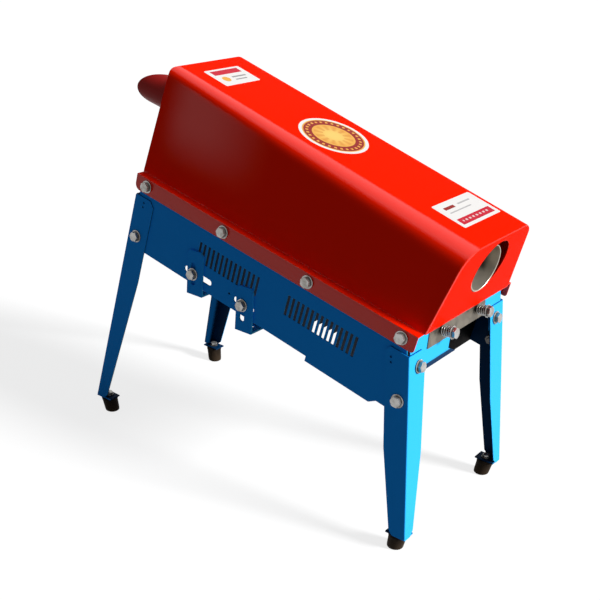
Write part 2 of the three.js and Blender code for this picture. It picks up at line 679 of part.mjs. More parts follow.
// A side panel: louvres, the hanger tracks on the front and the bolt holes
function sidePanel(name, side, withTracks) {
  const shape = polygon([
    [feedPanelX(-PANEL_TOP, PANEL_END_GAP), -PANEL_TOP],
    [feedPanelX(-PANEL_DEPTH, PANEL_END_GAP), -PANEL_DEPTH],
    [PANEL_LIP_FROM, -PANEL_DEPTH],
    [PANEL_LIP_FROM, -PANEL_DEPTH - PANEL_LIP_DEPTH],
    [PANEL_LIP_TO, -PANEL_DEPTH - PANEL_LIP_DEPTH],
    [PANEL_LIP_TO + PANEL_LIP_SLANT, -PANEL_DEPTH],
    [outletPanelX(-PANEL_DEPTH, PANEL_END_GAP), -PANEL_DEPTH],
    [outletPanelX(-PANEL_TOP, PANEL_END_GAP), -PANEL_TOP],
  ]);
  const radius = M8.shank + HOLE_GAP;
  if (withTracks) {
    for (const { from, length } of BRACKETS) {
      shape.holes.push(roundSlot(from + length / 2, -BRACKET_TRACK_DEPTH, length, BRACKET_TRACK_WIDTH));
    }
    shape.holes.push(roundHole(SMALL_HOLE_X, -SMALL_HOLE_DEPTH, SMALL_HOLE_RADIUS));
  }
  const distance = PANEL_HALF_WIDTH - PANEL_SHEET;
  const sheet = sideSheet(side, shape, distance, PANEL_SHEET);
  const upright = (from, width, height) => polygon([
    [from, -LOUVRE_TOP],
    [from + width, -LOUVRE_TOP],
    [from + width, -LOUVRE_TOP - height],
    [from, -LOUVRE_TOP - height],
  ]);
  const fins = louvres().map(({ x, covered }) => {
    const outline = upright(x - LOUVRE_WIDTH / 2 - LOUVRE_FIN_SHEET, LOUVRE_FIN_SHEET, covered);
    return sideSheet(side, outline, distance - LOUVRE_FIN_DEPTH, LOUVRE_FIN_DEPTH + PANEL_SHEET);
  });
  const slots = louvres().map(({ x }) => {
    const outline = upright(x - LOUVRE_WIDTH / 2, LOUVRE_WIDTH, LOUVRE_HEIGHT);
    return sideSheet(side, outline, distance - OVERRUN, PANEL_SHEET + 2 * OVERRUN);
  });
  const holes = flangeBoltX.map((x) => sideHole(side, x, -FLANGE_BOLT_DEPTH, radius));
  for (const x of [LEG_SIDE_BOLT_FEED_X, LEG_SIDE_BOLT_OUTLET_X]) {
    holes.push(sideHole(side, x, -LEG_SIDE_BOLT_DEPTH, radius));
  }
  return named(name, geometryOf(cut(join([sheet, ...fins]), [...slots, ...holes])), BLUE_PAINT);
}

const insideHalf = PANEL_HALF_WIDTH - PANEL_SHEET - SEAT_GAP;

// The frame's closed end at the feed side, with the bearing tab that stands up into the cover
function leftEndPlate() {
  const shape = polygon([
    [-insideHalf, -END_TOP],
    [-insideHalf, -PANEL_DEPTH],
    [insideHalf, -PANEL_DEPTH],
    [insideHalf, -END_TOP],
    [ROTOR_Y + BEARING_TAB_HALF_WIDTH, -END_TOP],
    [ROTOR_Y + BEARING_TAB_HALF_WIDTH, BEARING_TAB_TOP],
    [ROTOR_Y - BEARING_TAB_HALF_WIDTH, BEARING_TAB_TOP],
    [ROTOR_Y - BEARING_TAB_HALF_WIDTH, -END_TOP],
  ]);
  shape.holes.push(roundHole(ROTOR_Y, ROTOR_Z, SHAFT_RADIUS + PANEL_SHEET));
  const side = SIDES.feed;
  const sheet = sideSheet(side, shape, LEG_FEED_X - LEG_SHEET - SEAT_GAP - PANEL_SHEET, PANEL_SHEET, 10);
  const radius = M8.shank + HOLE_GAP;
  const holes = [-1, 1].map((sign) => sideHole(side, sign * LEG_END_BOLT_Y, -LEG_END_BOLT_DEPTH, radius));
  return named('left_end_plate', geometryOf(cut(sheet, holes)), BLUE_PAINT);
}

const endPlateDistance = LEG_OUTLET_X - LEG_SHEET - SEAT_GAP - PANEL_SHEET;

// The outlet end: a bridge behind the sprung plate, a deeper front part with a folded lip, and an
// opening towards the rear
function rightEndPlate() {
  const side = SIDES.outlet;
  const shape = polygon([
    [-insideHalf, -END_TOP],
    [-insideHalf, -END_DEPTH],
    [END_FOLD_FRONT_Y, -END_DEPTH],
    [END_FOLD_FRONT_Y, -END_FOLD_DEPTH],
    [OPENING_FOLD_Y, -END_FOLD_DEPTH],
    [OPENING_FRONT_Y, -END_BRIDGE_DEPTH],
    [OPENING_REAR_Y, -END_BRIDGE_DEPTH],
    [OPENING_REAR_Y, -END_DEPTH],
    [insideHalf, -END_DEPTH],
    [insideHalf, -END_TOP],
  ]);
  const foldFrom = END_FOLD_DEPTH - PANEL_SHEET / 2;
  const lip = polygon([
    [END_FOLD_FRONT_Y, -foldFrom],
    [END_FOLD_FRONT_Y, -END_DEPTH],
    [OPENING_LIP_Y, -END_DEPTH],
    [OPENING_FOLD_Y, -foldFrom],
  ]);
  const folded = { ...side, lean: END_FOLD_LEAN_SHARE };
  const foldDistance = endPlateDistance + (side.lean - END_FOLD_LEAN_SHARE) * foldFrom;
  const pieces = [
    sideSheet(side, shape, endPlateDistance, PANEL_SHEET),
    sideSheet(folded, lip, foldDistance, PANEL_SHEET),
  ];
  const radius = M8.shank + HOLE_GAP;
  const holes = [-1, 1].flatMap((sign) => [
    sideHole(side, sign * LEG_END_BOLT_Y, -LEG_END_BOLT_DEPTH, radius),
    sideHole(side, sign * SPRING_SCREW_Y, -SPRING_SCREW_DEPTH, radius),
  ]);
  return named('right_end_plate', geometryOf(cut(join(pieces), holes)), BLUE_PAINT);
}

// The cross beam that carries the outlet bearing
function bearingBeam() {
  const shape = polygon([
    [-insideHalf, -END_TOP],
    [-insideHalf, -BEAM_DEPTH],
    [insideHalf, -BEAM_DEPTH],
    [insideHalf, -END_TOP],
    [ROTOR_Y + BEARING_TAB_HALF_WIDTH, -END_TOP],
    [ROTOR_Y + BEARING_TAB_HALF_WIDTH, BEARING_TAB_TOP],
    [ROTOR_Y - BEARING_TAB_HALF_WIDTH, BEARING_TAB_TOP],
    [ROTOR_Y - BEARING_TAB_HALF_WIDTH, -END_TOP],
  ]);
  shape.holes.push(roundHole(ROTOR_Y, ROTOR_Z, SHAFT_RADIUS + PANEL_SHEET));
  const upright = { ...SIDES.outlet, lean: 0 };
  return named('bearing_beam', geometryOf(sideSheet(upright, shape, BEAM_X, BEAM_SHEET, 10)), BLACK_RUBBER);
}

// The black flap that closes the box behind the opening
function endCurtain() {
  const shape = polygon([
    [-insideHalf, -CURTAIN_TOP],
    [-insideHalf, -CURTAIN_DEPTH],
    [insideHalf, -CURTAIN_DEPTH],
    [insideHalf, -CURTAIN_TOP],
  ]);
  const upright = { ...SIDES.outlet, lean: 0 };
  const distance = BEAM_X + BEAM_SHEET + SEAT_GAP;
  return named('end_curtain', geometryOf(sideSheet(upright, shape, distance, CURTAIN_SHEET)), BLACK_RUBBER);
}

const pressurePlateDistance = endPlateDistance + PANEL_SHEET + SEAT_GAP;

function pressurePlate() {
  const side = SIDES.outlet;
  const shape = polygon([
    [PRESSURE_PLATE_FRONT + PRESSURE_PLATE_CORNER, -PRESSURE_PLATE_TOP],
    [PRESSURE_PLATE_FRONT, -PRESSURE_PLATE_DEPTH],
    [PRESSURE_PLATE_REAR, -PRESSURE_PLATE_DEPTH],
    [PRESSURE_PLATE_REAR, -PRESSURE_PLATE_TOP],
  ]);
  const sheet = sideSheet(side, shape, pressurePlateDistance, GALVANISED_SHEET);
  const radius = M8.shank + HOLE_GAP;
  const holes = [-1, 1].map((sign) => sideHole(side, sign * SPRING_SCREW_Y, -SPRING_SCREW_DEPTH, radius));
  return named('pressure_plate', geometryOf(cut(sheet, holes)), GALVANISED);
}

function springPlace(sign) {
  const distance = pressurePlateDistance + GALVANISED_SHEET;
  return sidePlace(SIDES.outlet, sign * SPRING_SCREW_Y, -SPRING_SCREW_DEPTH, distance);
}

// A screw through the end plate and the sprung plate, with the spring's length under its washer
function springScrew(name, sign) {
  const grip = GALVANISED_SHEET + SEAT_GAP + PANEL_SHEET;
  const standOff = SPRING_LENGTH + SEAT_GAP;
  const mesh = named(name, bolt(M8, grip, { standOff, washer: SPRING_WASHER_RADIUS }), ZINC);
  const place = springPlace(sign);
  mesh.position.copy(place.point);
  mesh.quaternion.setFromUnitVectors(Z, place.normal);
  return mesh;
}

// The middle line of a spring: a short straight end, the curls and a short straight end
function springLine() {
  const wire = 2 * SPRING_WIRE_RADIUS;
  const rise = SPRING_LENGTH - 2 * wire;
  const count = SPRING_CURLS * SPRING_STEPS;
  const points = [new THREE.Vector3(SPRING_COIL_RADIUS, 0, 0)];
  for (let i = 0; i <= count; i += 1) {
    const angle = (i / SPRING_STEPS) * 2 * Math.PI;
    const z = wire + (rise * i) / count;
    points.push(new THREE.Vector3(SPRING_COIL_RADIUS * Math.cos(angle), SPRING_COIL_RADIUS * Math.sin(angle), z));
  }
  points.push(new THREE.Vector3(SPRING_COIL_RADIUS, 0, SPRING_LENGTH));
  return points;
}

// The least gap between stretches of the wire that are half a curl or more apart
function leastSpringGap(points) {
  let least = Infinity;
  for (let i = 0; i < points.length; i += 1) {
    for (let j = i + SPRING_STEPS / 2; j < points.length; j += 1) {
      least = Math.min(least, points[i].distanceTo(points[j]));
    }
  }
  return least - 2 * SPRING_WIRE_RADIUS;
}

function spring(name, sign) {
  const line = springLine();
  const sections = line.map((point, i) => {
    const atEnd = i === 0 || i === line.length - 1;
    const ahead = line[Math.min(i + 1, line.length - 1)].clone().sub(line[Math.max(i - 1, 0)]).normalize();
    const along = atEnd ? Z.clone() : ahead;
    const radial = new THREE.Vector3(point.x, point.y, 0).normalize();
    radial.addScaledVector(along, -radial.dot(along)).normalize();
    const across = along.clone().cross(radial);
    return Array.from({ length: SPRING_SIDES }, (_, k) => {
      const angle = (k / SPRING_SIDES) * 2 * Math.PI;
      const spoke = radial.clone().multiplyScalar(Math.cos(angle)).addScaledVector(across, Math.sin(angle));
      return point.clone().addScaledVector(spoke, SPRING_WIRE_RADIUS);
    });
  });
  const mesh = named(name, loft(sections, ['x', 'y']), ZINC);
  const place = springPlace(sign);
  mesh.position.copy(place.point).addScaledVector(place.normal, SEAT_GAP);
  mesh.quaternion.setFromUnitVectors(Z, place.normal);
  console.log(`${name}: least gap of the wire to itself ${leastSpringGap(line).toFixed(2)} mm`);
  return mesh;
}

// Where a leg's outer corner line meets the height of its bottom edge, in the box's frame
function legToe(atOutlet) {
  const c = Math.cos(TILT);
  const s = Math.sin(TILT);
  const x = atOutlet ? LEG_OUTLET_X : -LEG_FEED_X;
  const lean = atOutlet ? LEG_OUTLET_LEAN_SHARE : -LEG_FEED_LEAN_SHARE;
  const z = (x * s + LEG_BOTTOM - LEDGE_HEIGHT) / (c + lean * s);
  return { x: x - lean * z, z };
}

// The height, in the box's frame, of a level line at a floor height
function levelHeight(x, floorHeight) {
  return (x * Math.sin(TILT) + floorHeight - LEDGE_HEIGHT) / Math.cos(TILT);
}

function legSideWing(atOutlet, side) {
  const towardsMiddle = atOutlet ? -1 : 1;
  const toe = legToe(atOutlet);
  const bottomWidth = atOutlet ? LEG_SIDE_WIDTH_OUTLET_BOTTOM : LEG_SIDE_WIDTH_FEED_BOTTOM;
  const edge = (z) => (atOutlet ? outletPanelX(z, 0) : feedPanelX(z, 0));
  const inner = (z, width) => edge(z) + towardsMiddle * width;
  const top = -LEG_TOP_DEPTH;
  const knee = top - LEG_KNEE;
  const corner = LEG_TOP_CORNER;
  const toeX = inner(toe.z, bottomWidth);
  const toeStep = toeX - towardsMiddle * LEG_TOE_CORNER;
  const toeTop = levelHeight(toeX, LEG_BOTTOM + LEG_TOE_CORNER);
  const outline = polygon([
    [edge(top), top],
    [edge(toe.z), toe.z],
    [toeStep, levelHeight(toeStep, LEG_BOTTOM)],
    [toeX, toeTop],
    [inner(knee, LEG_SIDE_WIDTH_TOP), knee],
    [inner(top - corner, LEG_SIDE_WIDTH_TOP), top - corner],
    [inner(top, LEG_SIDE_WIDTH_TOP - corner), top],
  ]);
  return sideSheet(side, outline, PANEL_HALF_WIDTH + SEAT_GAP, LEG_SHEET);
}

function legEndWing(atOutlet, side) {
  const sign = side.out.y;
  const end = atOutlet ? SIDES.outlet : SIDES.feed;
  const distance = (atOutlet ? LEG_OUTLET_X : LEG_FEED_X) - LEG_SHEET;
  const toe = legToe(atOutlet);
  const outer = (z) => PANEL_HALF_WIDTH + SEAT_GAP + LEG_SHEET - side.lean * z;
  const inner = (z, width) => sign * (outer(z) - width);
  const top = -LEG_TOP_DEPTH;
  const knee = top - LEG_KNEE;
  const outline = polygon([
    [sign * outer(top), top],
    [sign * outer(toe.z), toe.z],
    [inner(toe.z, LEG_END_WIDTH_BOTTOM - LEG_TOE_CORNER), toe.z],
    [inner(toe.z, LEG_END_WIDTH_BOTTOM), toe.z + LEG_TOE_CORNER],
    [inner(knee, LEG_END_WIDTH_KNEE), knee],
    [inner(top - LEG_TOP_CORNER, LEG_END_WIDTH_TOP), top - LEG_TOP_CORNER],
    [inner(top, LEG_END_WIDTH_TOP - LEG_TOP_CORNER), top],
  ]);
  return sideSheet(end, outline, distance, LEG_SHEET);
}

// A leg's outer corner at its bottom edge, in the floor's frame
function toeOnFloor(atOutlet, side) {
  const toe = legToe(atOutlet);
  const y = side.out.y * (PANEL_HALF_WIDTH + SEAT_GAP + LEG_SHEET - side.lean * toe.z);
  return new THREE.Vector3(toe.x, y, toe.z).applyMatrix4(BOX_TO_FLOOR);
}

// The middle of a foot's top, in the floor's frame
function footTop(atOutlet, side) {
  const corner = toeOnFloor(atOutlet, side);
  const inX = atOutlet ? -1 : 1;
  return new THREE.Vector3(corner.x + inX * FOOT_INSET_X, corner.y - side.out.y * FOOT_INSET_Y, LEG_BOTTOM);
}

function leg(name, atOutlet, side) {
  const corner = toeOnFloor(atOutlet, side);
  const inX = atOutlet ? -1 : 1;
  const inY = -side.out.y;
  const span = (a, b) => [Math.min(a, b), Math.max(a, b)];
  const tab = box(
    span(corner.x + (inX * LEG_SHEET) / 2, corner.x + inX * LEG_TAB_LENGTH),
    span(corner.y + (inY * LEG_SHEET) / 2, corner.y + inY * LEG_TAB_WIDTH),
    [LEG_BOTTOM, LEG_BOTTOM + LEG_TAB_SHEET],
  );
  const tabInBox = solid(moved(geometryOf(tab), FLOOR_TO_BOX));
  const foot = footTop(atOutlet, side);
  const holeGeometry = bar(M6.shank + HOLE_GAP, LEG_BOTTOM - OVERRUN, LEG_BOTTOM + OVERRUN, 12);
  holeGeometry.translate(foot.x, foot.y, 0);
  const radius = M8.shank + HOLE_GAP;
  const end = atOutlet ? SIDES.outlet : SIDES.feed;
  const boltX = atOutlet ? LEG_SIDE_BOLT_OUTLET_X : LEG_SIDE_BOLT_FEED_X;
  const wings = [legSideWing(atOutlet, side), legEndWing(atOutlet, side), tabInBox];
  const holes = [
    solid(moved(holeGeometry, FLOOR_TO_BOX)),
    sideHole(side, boltX, -LEG_SIDE_BOLT_DEPTH, radius),
    sideHole(end, side.out.y * LEG_END_BOLT_Y, -LEG_END_BOLT_DEPTH, radius),
  ];
  return named(name, geometryOf(cut(join(wings), holes)), BLUE_PAINT);
}

// A tapered rubber foot that leans in under its leg and stands flat on the floor
function foot(name, atOutlet, side) {
  const centre = footTop(atOutlet, side);
  const height = LEG_BOTTOM - SEAT_GAP;
  const inX = atOutlet ? -1 : 1;
  const profile = [
    new THREE.Vector2(0, 0),
    new THREE.Vector2(FOOT_BOTTOM_RADIUS - FOOT_EDGE, 0),
    new THREE.Vector2(FOOT_BOTTOM_RADIUS, FOOT_EDGE),
    new THREE.Vector2(FOOT_TOP_RADIUS, height),
    new THREE.Vector2(0, height),
  ];
  const geometry = new THREE.LatheGeometry(profile, 20);
  geometry.rotateX(Math.PI / 2);
  const shear = new THREE.Matrix4().set(
    1, 0, (-inX * FOOT_LEAN_X) / height, centre.x + inX * FOOT_LEAN_X,
    0, 1, (side.out.y * FOOT_LEAN_Y) / height, centre.y - side.out.y * FOOT_LEAN_Y,
    0, 0, 1, 0,
    0, 0, 0, 1,
  );
  const body = solid(moved(geometry, shear));
  const hole = bar(M6.shank + HOLE_GAP, height - FOOT_HOLE_DEPTH, height + OVERRUN, 8);
  hole.translate(centre.x, centre.y, 0);
  return named(name, geometryOf(cut(body, [solid(hole)])), BLACK_RUBBER);
}

function footBolt(name, atOutlet, side) {
  const centre = footTop(atOutlet, side);
  const length = LEG_TAB_SHEET + FOOT_HOLE_DEPTH / 2;
  const mesh = named(name, bolt(M6, 0, { nut: false, length }), ZINC);
  mesh.position.set(centre.x, centre.y, LEG_BOTTOM + LEG_TAB_SHEET);
  return mesh;
}

// The level direction and the upright in the plane of the front panel
const hangerAlong = X.clone().transformDirection(FLOOR_TO_BOX);
const hangerUp = Z.clone().transformDirection(FLOOR_TO_BOX);

// Lays a hanger's drawing (level, upright, outwards) on the front panel about its bolt
function hangerMatrix(x, distance) {
  const place = sidePlace(SIDES.front, x, -BRACKET_TRACK_DEPTH, distance);
  const onPanel = (v) => v.clone().addScaledVector(SIDES.front.out, -SIDES.front.lean * v.z);
  const matrix = new THREE.Matrix4().makeBasis(onPanel(hangerAlong), onPanel(hangerUp), SIDES.front.out);
  return matrix.setPosition(place.point);
}

// An L-shaped hanger: a slotted plate on the panel and a shelf folded in under it
function motorBracket(name, { x, rise }) {
  const left = BRACKET_SLOT_LEFT - BRACKET_WIDTH / 2;
  const right = BRACKET_SLOT_LEFT + BRACKET_WIDTH / 2;
  const middle = rise + BRACKET_SLOT_DROP;
  const top = middle + BRACKET_HEIGHT / 2;
  const bottom = middle - BRACKET_HEIGHT / 2;
  const shape = polygon([
    [left, bottom],
    [right, bottom],
    [right, top - BRACKET_CORNER],
    [right - BRACKET_CORNER, top],
    [left + BRACKET_CORNER, top],
    [left, top - BRACKET_CORNER],
  ]);
  shape.holes.push(roundSlot(0, rise, BRACKET_SLOT_LENGTH, BRACKET_SLOT_WIDTH, true));
  const plate = new THREE.ExtrudeGeometry(shape, { depth: BRACKET_SHEET, bevelEnabled: false, curveSegments: 5 });
  const shelfShape = polygon([
    [left, -BRACKET_SHELF],
    [right, -BRACKET_SHELF],
    [right, BRACKET_SHEET / 2],
    [left, BRACKET_SHEET / 2],
  ]);
  const holeY = -BRACKET_SHELF / 2 - BRACKET_SHEET / 2;
  shelfShape.holes.push(roundHole(BRACKET_SLOT_LEFT, holeY, BRACKET_SHELF_HOLE_RADIUS));
  const shelf = new THREE.ExtrudeGeometry(shelfShape, { depth: BRACKET_SHEET, bevelEnabled: false, curveSegments: 5 });
  const fold = new THREE.Matrix4().makeBasis(X, Z, Y);
  fold.setPosition(0, bottom, 0);
  const body = join([solid(plate), solid(moved(shelf, fold))]);
  const matrix = hangerMatrix(x, PANEL_HALF_WIDTH + SEAT_GAP);
  return named(name, moved(geometryOf(body), matrix), BLUE_PAINT);
}

function bracketBolt(name, { x }) {
  const distance = PANEL_HALF_WIDTH + SEAT_GAP + BRACKET_SHEET;
  const grip = BRACKET_SHEET + SEAT_GAP + PANEL_SHEET;
  return sideBolt(name, SIDES.front, x, -BRACKET_TRACK_DEPTH, distance, grip);
}

function rotorShaft() {
  const nutSeat = PULLEY_X - PULLEY_HUB_LENGTH / 2;
  return named('rotor_shaft', geometryOf(join([
    barAlongX(SHAFT_RADIUS, nutSeat + OVERRUN, SHAFT_OUTLET_END, ROTOR_Y, ROTOR_Z, 16),
    barAlongX(SHAFT_RADIUS - PANEL_SHEET, -SHAFT_FEED_END, nutSeat + 2 * OVERRUN, ROTOR_Y, ROTOR_Z, 16),
  ])), STEEL);
}

// The drum: a tube with raised bars that wind along it, and a windowed plate at each end
function shellingDrum() {
  const bars = [];
  const halfBar = THREE.MathUtils.degToRad(DRUM_BAR_HALF_ANGLE_DEG);
  for (let i = 0; i < DRUM_BARS; i += 1) {
    const middle = (i / DRUM_BARS) * 2 * Math.PI;
    const next = middle + (2 * Math.PI) / DRUM_BARS;
    bars.push(
      [middle - halfBar, DRUM_RADIUS],
      [middle - halfBar / 2, DRUM_RADIUS + DRUM_BAR_HEIGHT],
      [middle + halfBar / 2, DRUM_RADIUS + DRUM_BAR_HEIGHT],
      [middle + halfBar, DRUM_RADIUS],
      [(middle + next) / 2, DRUM_RADIUS],
    );
  }
  const sections = [];
  for (let s = 0; s <= DRUM_TWIST_STEPS; s += 1) {
    const share = s / DRUM_TWIST_STEPS;
    const turn = share * DRUM_TWIST_TURNS * 2 * Math.PI;
    const x = DRUM_FROM + (DRUM_TO - DRUM_FROM) * share;
    sections.push(bars.map(([angle, radius]) => new THREE.Vector3(
      x,
      ROTOR_Y + radius * Math.cos(angle + turn),
      ROTOR_Z + radius * Math.sin(angle + turn),
    )));
  }
  const inner = DRUM_RADIUS * Math.cos(Math.PI / DRUM_BARS / 2) - DRUM_WALL;
  const tools = [
    barAlongX(inner, DRUM_FROM + DRUM_END_PLATE, DRUM_TO - DRUM_END_PLATE, ROTOR_Y, ROTOR_Z, 24),
    barAlongX(SHAFT_RADIUS + SEAT_GAP, DRUM_FROM - OVERRUN, DRUM_TO + OVERRUN, ROTOR_Y, ROTOR_Z, 16),
  ];
  for (let i = 0; i < 4; i += 1) {
    const angle = (i / 4) * 2 * Math.PI;
    const y = ROTOR_Y + DRUM_WINDOW_CIRCLE * Math.cos(angle);
    const z = ROTOR_Z + DRUM_WINDOW_CIRCLE * Math.sin(angle);
    tools.push(barAlongX(DRUM_WINDOW_RADIUS, DRUM_FROM - OVERRUN, DRUM_TO + OVERRUN, y, z, 10));
  }
  return named('shelling_drum', geometryOf(cut(solid(loft(sections, ['y', 'z'])), tools)), CAST_IRON);
}

function alongX(geometry, x) {
  geometry.rotateZ(-Math.PI / 2);
  geometry.translate(x, ROTOR_Y, ROTOR_Z);
  return geometry;
}

function pulley() {
  const half = PULLEY_WIDTH / 2;
  const rimInner = PULLEY_RADIUS - PULLEY_GROOVE - PULLEY_RIM;
  const bore = SHAFT_RADIUS + SEAT_GAP;
  const profile = [
    [bore, -PULLEY_HUB_LENGTH / 2],
    [PULLEY_HUB_RADIUS, -PULLEY_HUB_LENGTH / 2],
    [PULLEY_HUB_RADIUS, -PULLEY_WEB / 2],
    [rimInner, -PULLEY_WEB / 2],
    [rimInner, -half],
    [PULLEY_RADIUS, -half],
    [PULLEY_RADIUS, -half + PULLEY_WIDTH / 9],
    [PULLEY_RADIUS - PULLEY_GROOVE, -PULLEY_WIDTH / 6],
    [PULLEY_RADIUS - PULLEY_GROOVE, PULLEY_WIDTH / 6],
    [PULLEY_RADIUS, half - PULLEY_WIDTH / 9],
    [PULLEY_RADIUS, half],
    [rimInner, half],
    [rimInner, PULLEY_WEB / 2],
    [PULLEY_HUB_RADIUS, PULLEY_WEB / 2],
    [PULLEY_HUB_RADIUS, PULLEY_HUB_LENGTH / 2],
    [bore, PULLEY_HUB_LENGTH / 2],
    [bore, -PULLEY_HUB_LENGTH / 2],
  ].map(([r, along]) => new THREE.Vector2(r, along));
  return named('driven_pulley', alongX(new THREE.LatheGeometry(profile, 20), PULLEY_X), CAST_IRON);
}

function pulleyNut() {
  const seat = PULLEY_X - PULLEY_HUB_LENGTH / 2 - SEAT_GAP;
  const nut = cut(hexagon(SHAFT_NUT_FLATS, seat - SHAFT_NUT_LENGTH, seat), [
    solid(bar(SHAFT_RADIUS - PANEL_SHEET + SEAT_GAP, seat - 2 * SHAFT_NUT_LENGTH, seat + SHAFT_NUT_LENGTH, 16)),
  ]);
  const geometry = geometryOf(nut);
  geometry.rotateY(Math.PI / 2);
  geometry.translate(0, ROTOR_Y, ROTOR_Z);
  return named('pulley_nut', geometry, ZINC);
}

function ring(outer, inner, width) {
  const profile = [
    new THREE.Vector2(inner, -width / 2),
    new THREE.Vector2(outer, -width / 2),
    new THREE.Vector2(outer, width / 2),
    new THREE.Vector2(inner, width / 2),
    new THREE.Vector2(inner, -width / 2),
  ];
  return new THREE.LatheGeometry(profile, 18);
}

const housingOutletX = BEAM_X - SEAT_GAP;

function bearing(name, inward, face) {
  const middle = face + inward * (HOUSING_LENGTH - BEARING_WIDTH / 2);
  const geometry = alongX(ring(BEARING_RADIUS, SHAFT_RADIUS + SEAT_GAP, BEARING_WIDTH), middle);
  return named(name, geometry, ZINC);
}

// A flanged housing: a square plate on the end sheet and a round boss around the bearing
function bearingHousing(name, inward, face) {
  const span = (a, b) => [Math.min(a, b), Math.max(a, b)];
  const plateX = span(face, face + inward * HOUSING_PLATE);
  const bossX = span(face, face + inward * HOUSING_LENGTH);
  const plate = box(
    plateX,
    [ROTOR_Y - HOUSING_HALF_SIDE, ROTOR_Y + HOUSING_HALF_SIDE],
    [ROTOR_Z - HOUSING_HALF_SIDE, ROTOR_Z + HOUSING_HALF_SIDE],
  );
  const boss = barAlongX(HOUSING_RADIUS, bossX[0], bossX[1], ROTOR_Y, ROTOR_Z, 20);
  const bore = barAlongX(BEARING_RADIUS + SEAT_GAP, bossX[0] - OVERRUN, bossX[1] + OVERRUN, ROTOR_Y, ROTOR_Z, 20);
  return named(name, geometryOf(cut(join([plate, boss]), [bore])), CAST_IRON);
}

// The screen under the drum: a half round sheet with slots, and a flange out to each panel
function concaveScreen() {
  const length = SCREEN_TO - SCREEN_FROM;
  const halfTurn = Math.PI;
  const section = (x) => {
    const points = [];
    for (const [radius, start, end] of [
      [SCREEN_RADIUS + SCREEN_SHEET, halfTurn, 2 * halfTurn],
      [SCREEN_RADIUS, 2 * halfTurn, halfTurn],
    ]) {
      for (let i = 0; i <= SCREEN_ARC_STEPS; i += 1) {
        const angle = start + ((end - start) * i) / SCREEN_ARC_STEPS;
        points.push(new THREE.Vector3(x, ROTOR_Y + radius * Math.cos(angle), ROTOR_Z + radius * Math.sin(angle)));
      }
    }
    return points;
  };
  const trough = solid(loft([section(SCREEN_FROM), section(SCREEN_TO)], ['y', 'z']));
  const flangeZ = [ROTOR_Z - SCREEN_FLANGE_DROP - SCREEN_SHEET, ROTOR_Z - SCREEN_FLANGE_DROP];
  const wallMiddle = Math.sqrt((SCREEN_RADIUS + SCREEN_SHEET / 2) ** 2 - SCREEN_FLANGE_DROP ** 2);
  const flanges = [
    box([SCREEN_FROM, SCREEN_TO], [-insideHalf, ROTOR_Y - wallMiddle], flangeZ),
    box([SCREEN_FROM, SCREEN_TO], [ROTOR_Y + wallMiddle, insideHalf], flangeZ),
  ];
  const pitch = (length - 2 * SCREEN_RIM + SCREEN_RIB) / SCREEN_SLOTS;
  const slots = [];
  for (let i = 0; i < SCREEN_SLOTS; i += 1) {
    const from = SCREEN_FROM + SCREEN_RIM + i * pitch;
    const to = from + pitch - SCREEN_RIB;
    for (let k = 0; k + 1 < SCREEN_BAR_ANGLES_DEG.length; k += 1) {
      const a = THREE.MathUtils.degToRad(SCREEN_BAR_ANGLES_DEG[k] + SCREEN_BAR_HALF_ANGLE_DEG);
      const b = THREE.MathUtils.degToRad(SCREEN_BAR_ANGLES_DEG[k + 1] - SCREEN_BAR_HALF_ANGLE_DEG);
      const wedge = [from, to].map((x) => [[a, -1], [a, 1], [b, 1], [b, -1]].map(([angle, side]) => {
        const radius = SCREEN_RADIUS + SCREEN_SHEET / 2 + side * OVERRUN;
        return new THREE.Vector3(x, ROTOR_Y + radius * Math.cos(angle), ROTOR_Z + radius * Math.sin(angle));
      }));
      slots.push(solid(loft(wedge, ['y', 'z'])));
    }
  }
  return named('concave_screen', geometryOf(cut(join([trough, ...flanges]), slots)), STEEL);
}

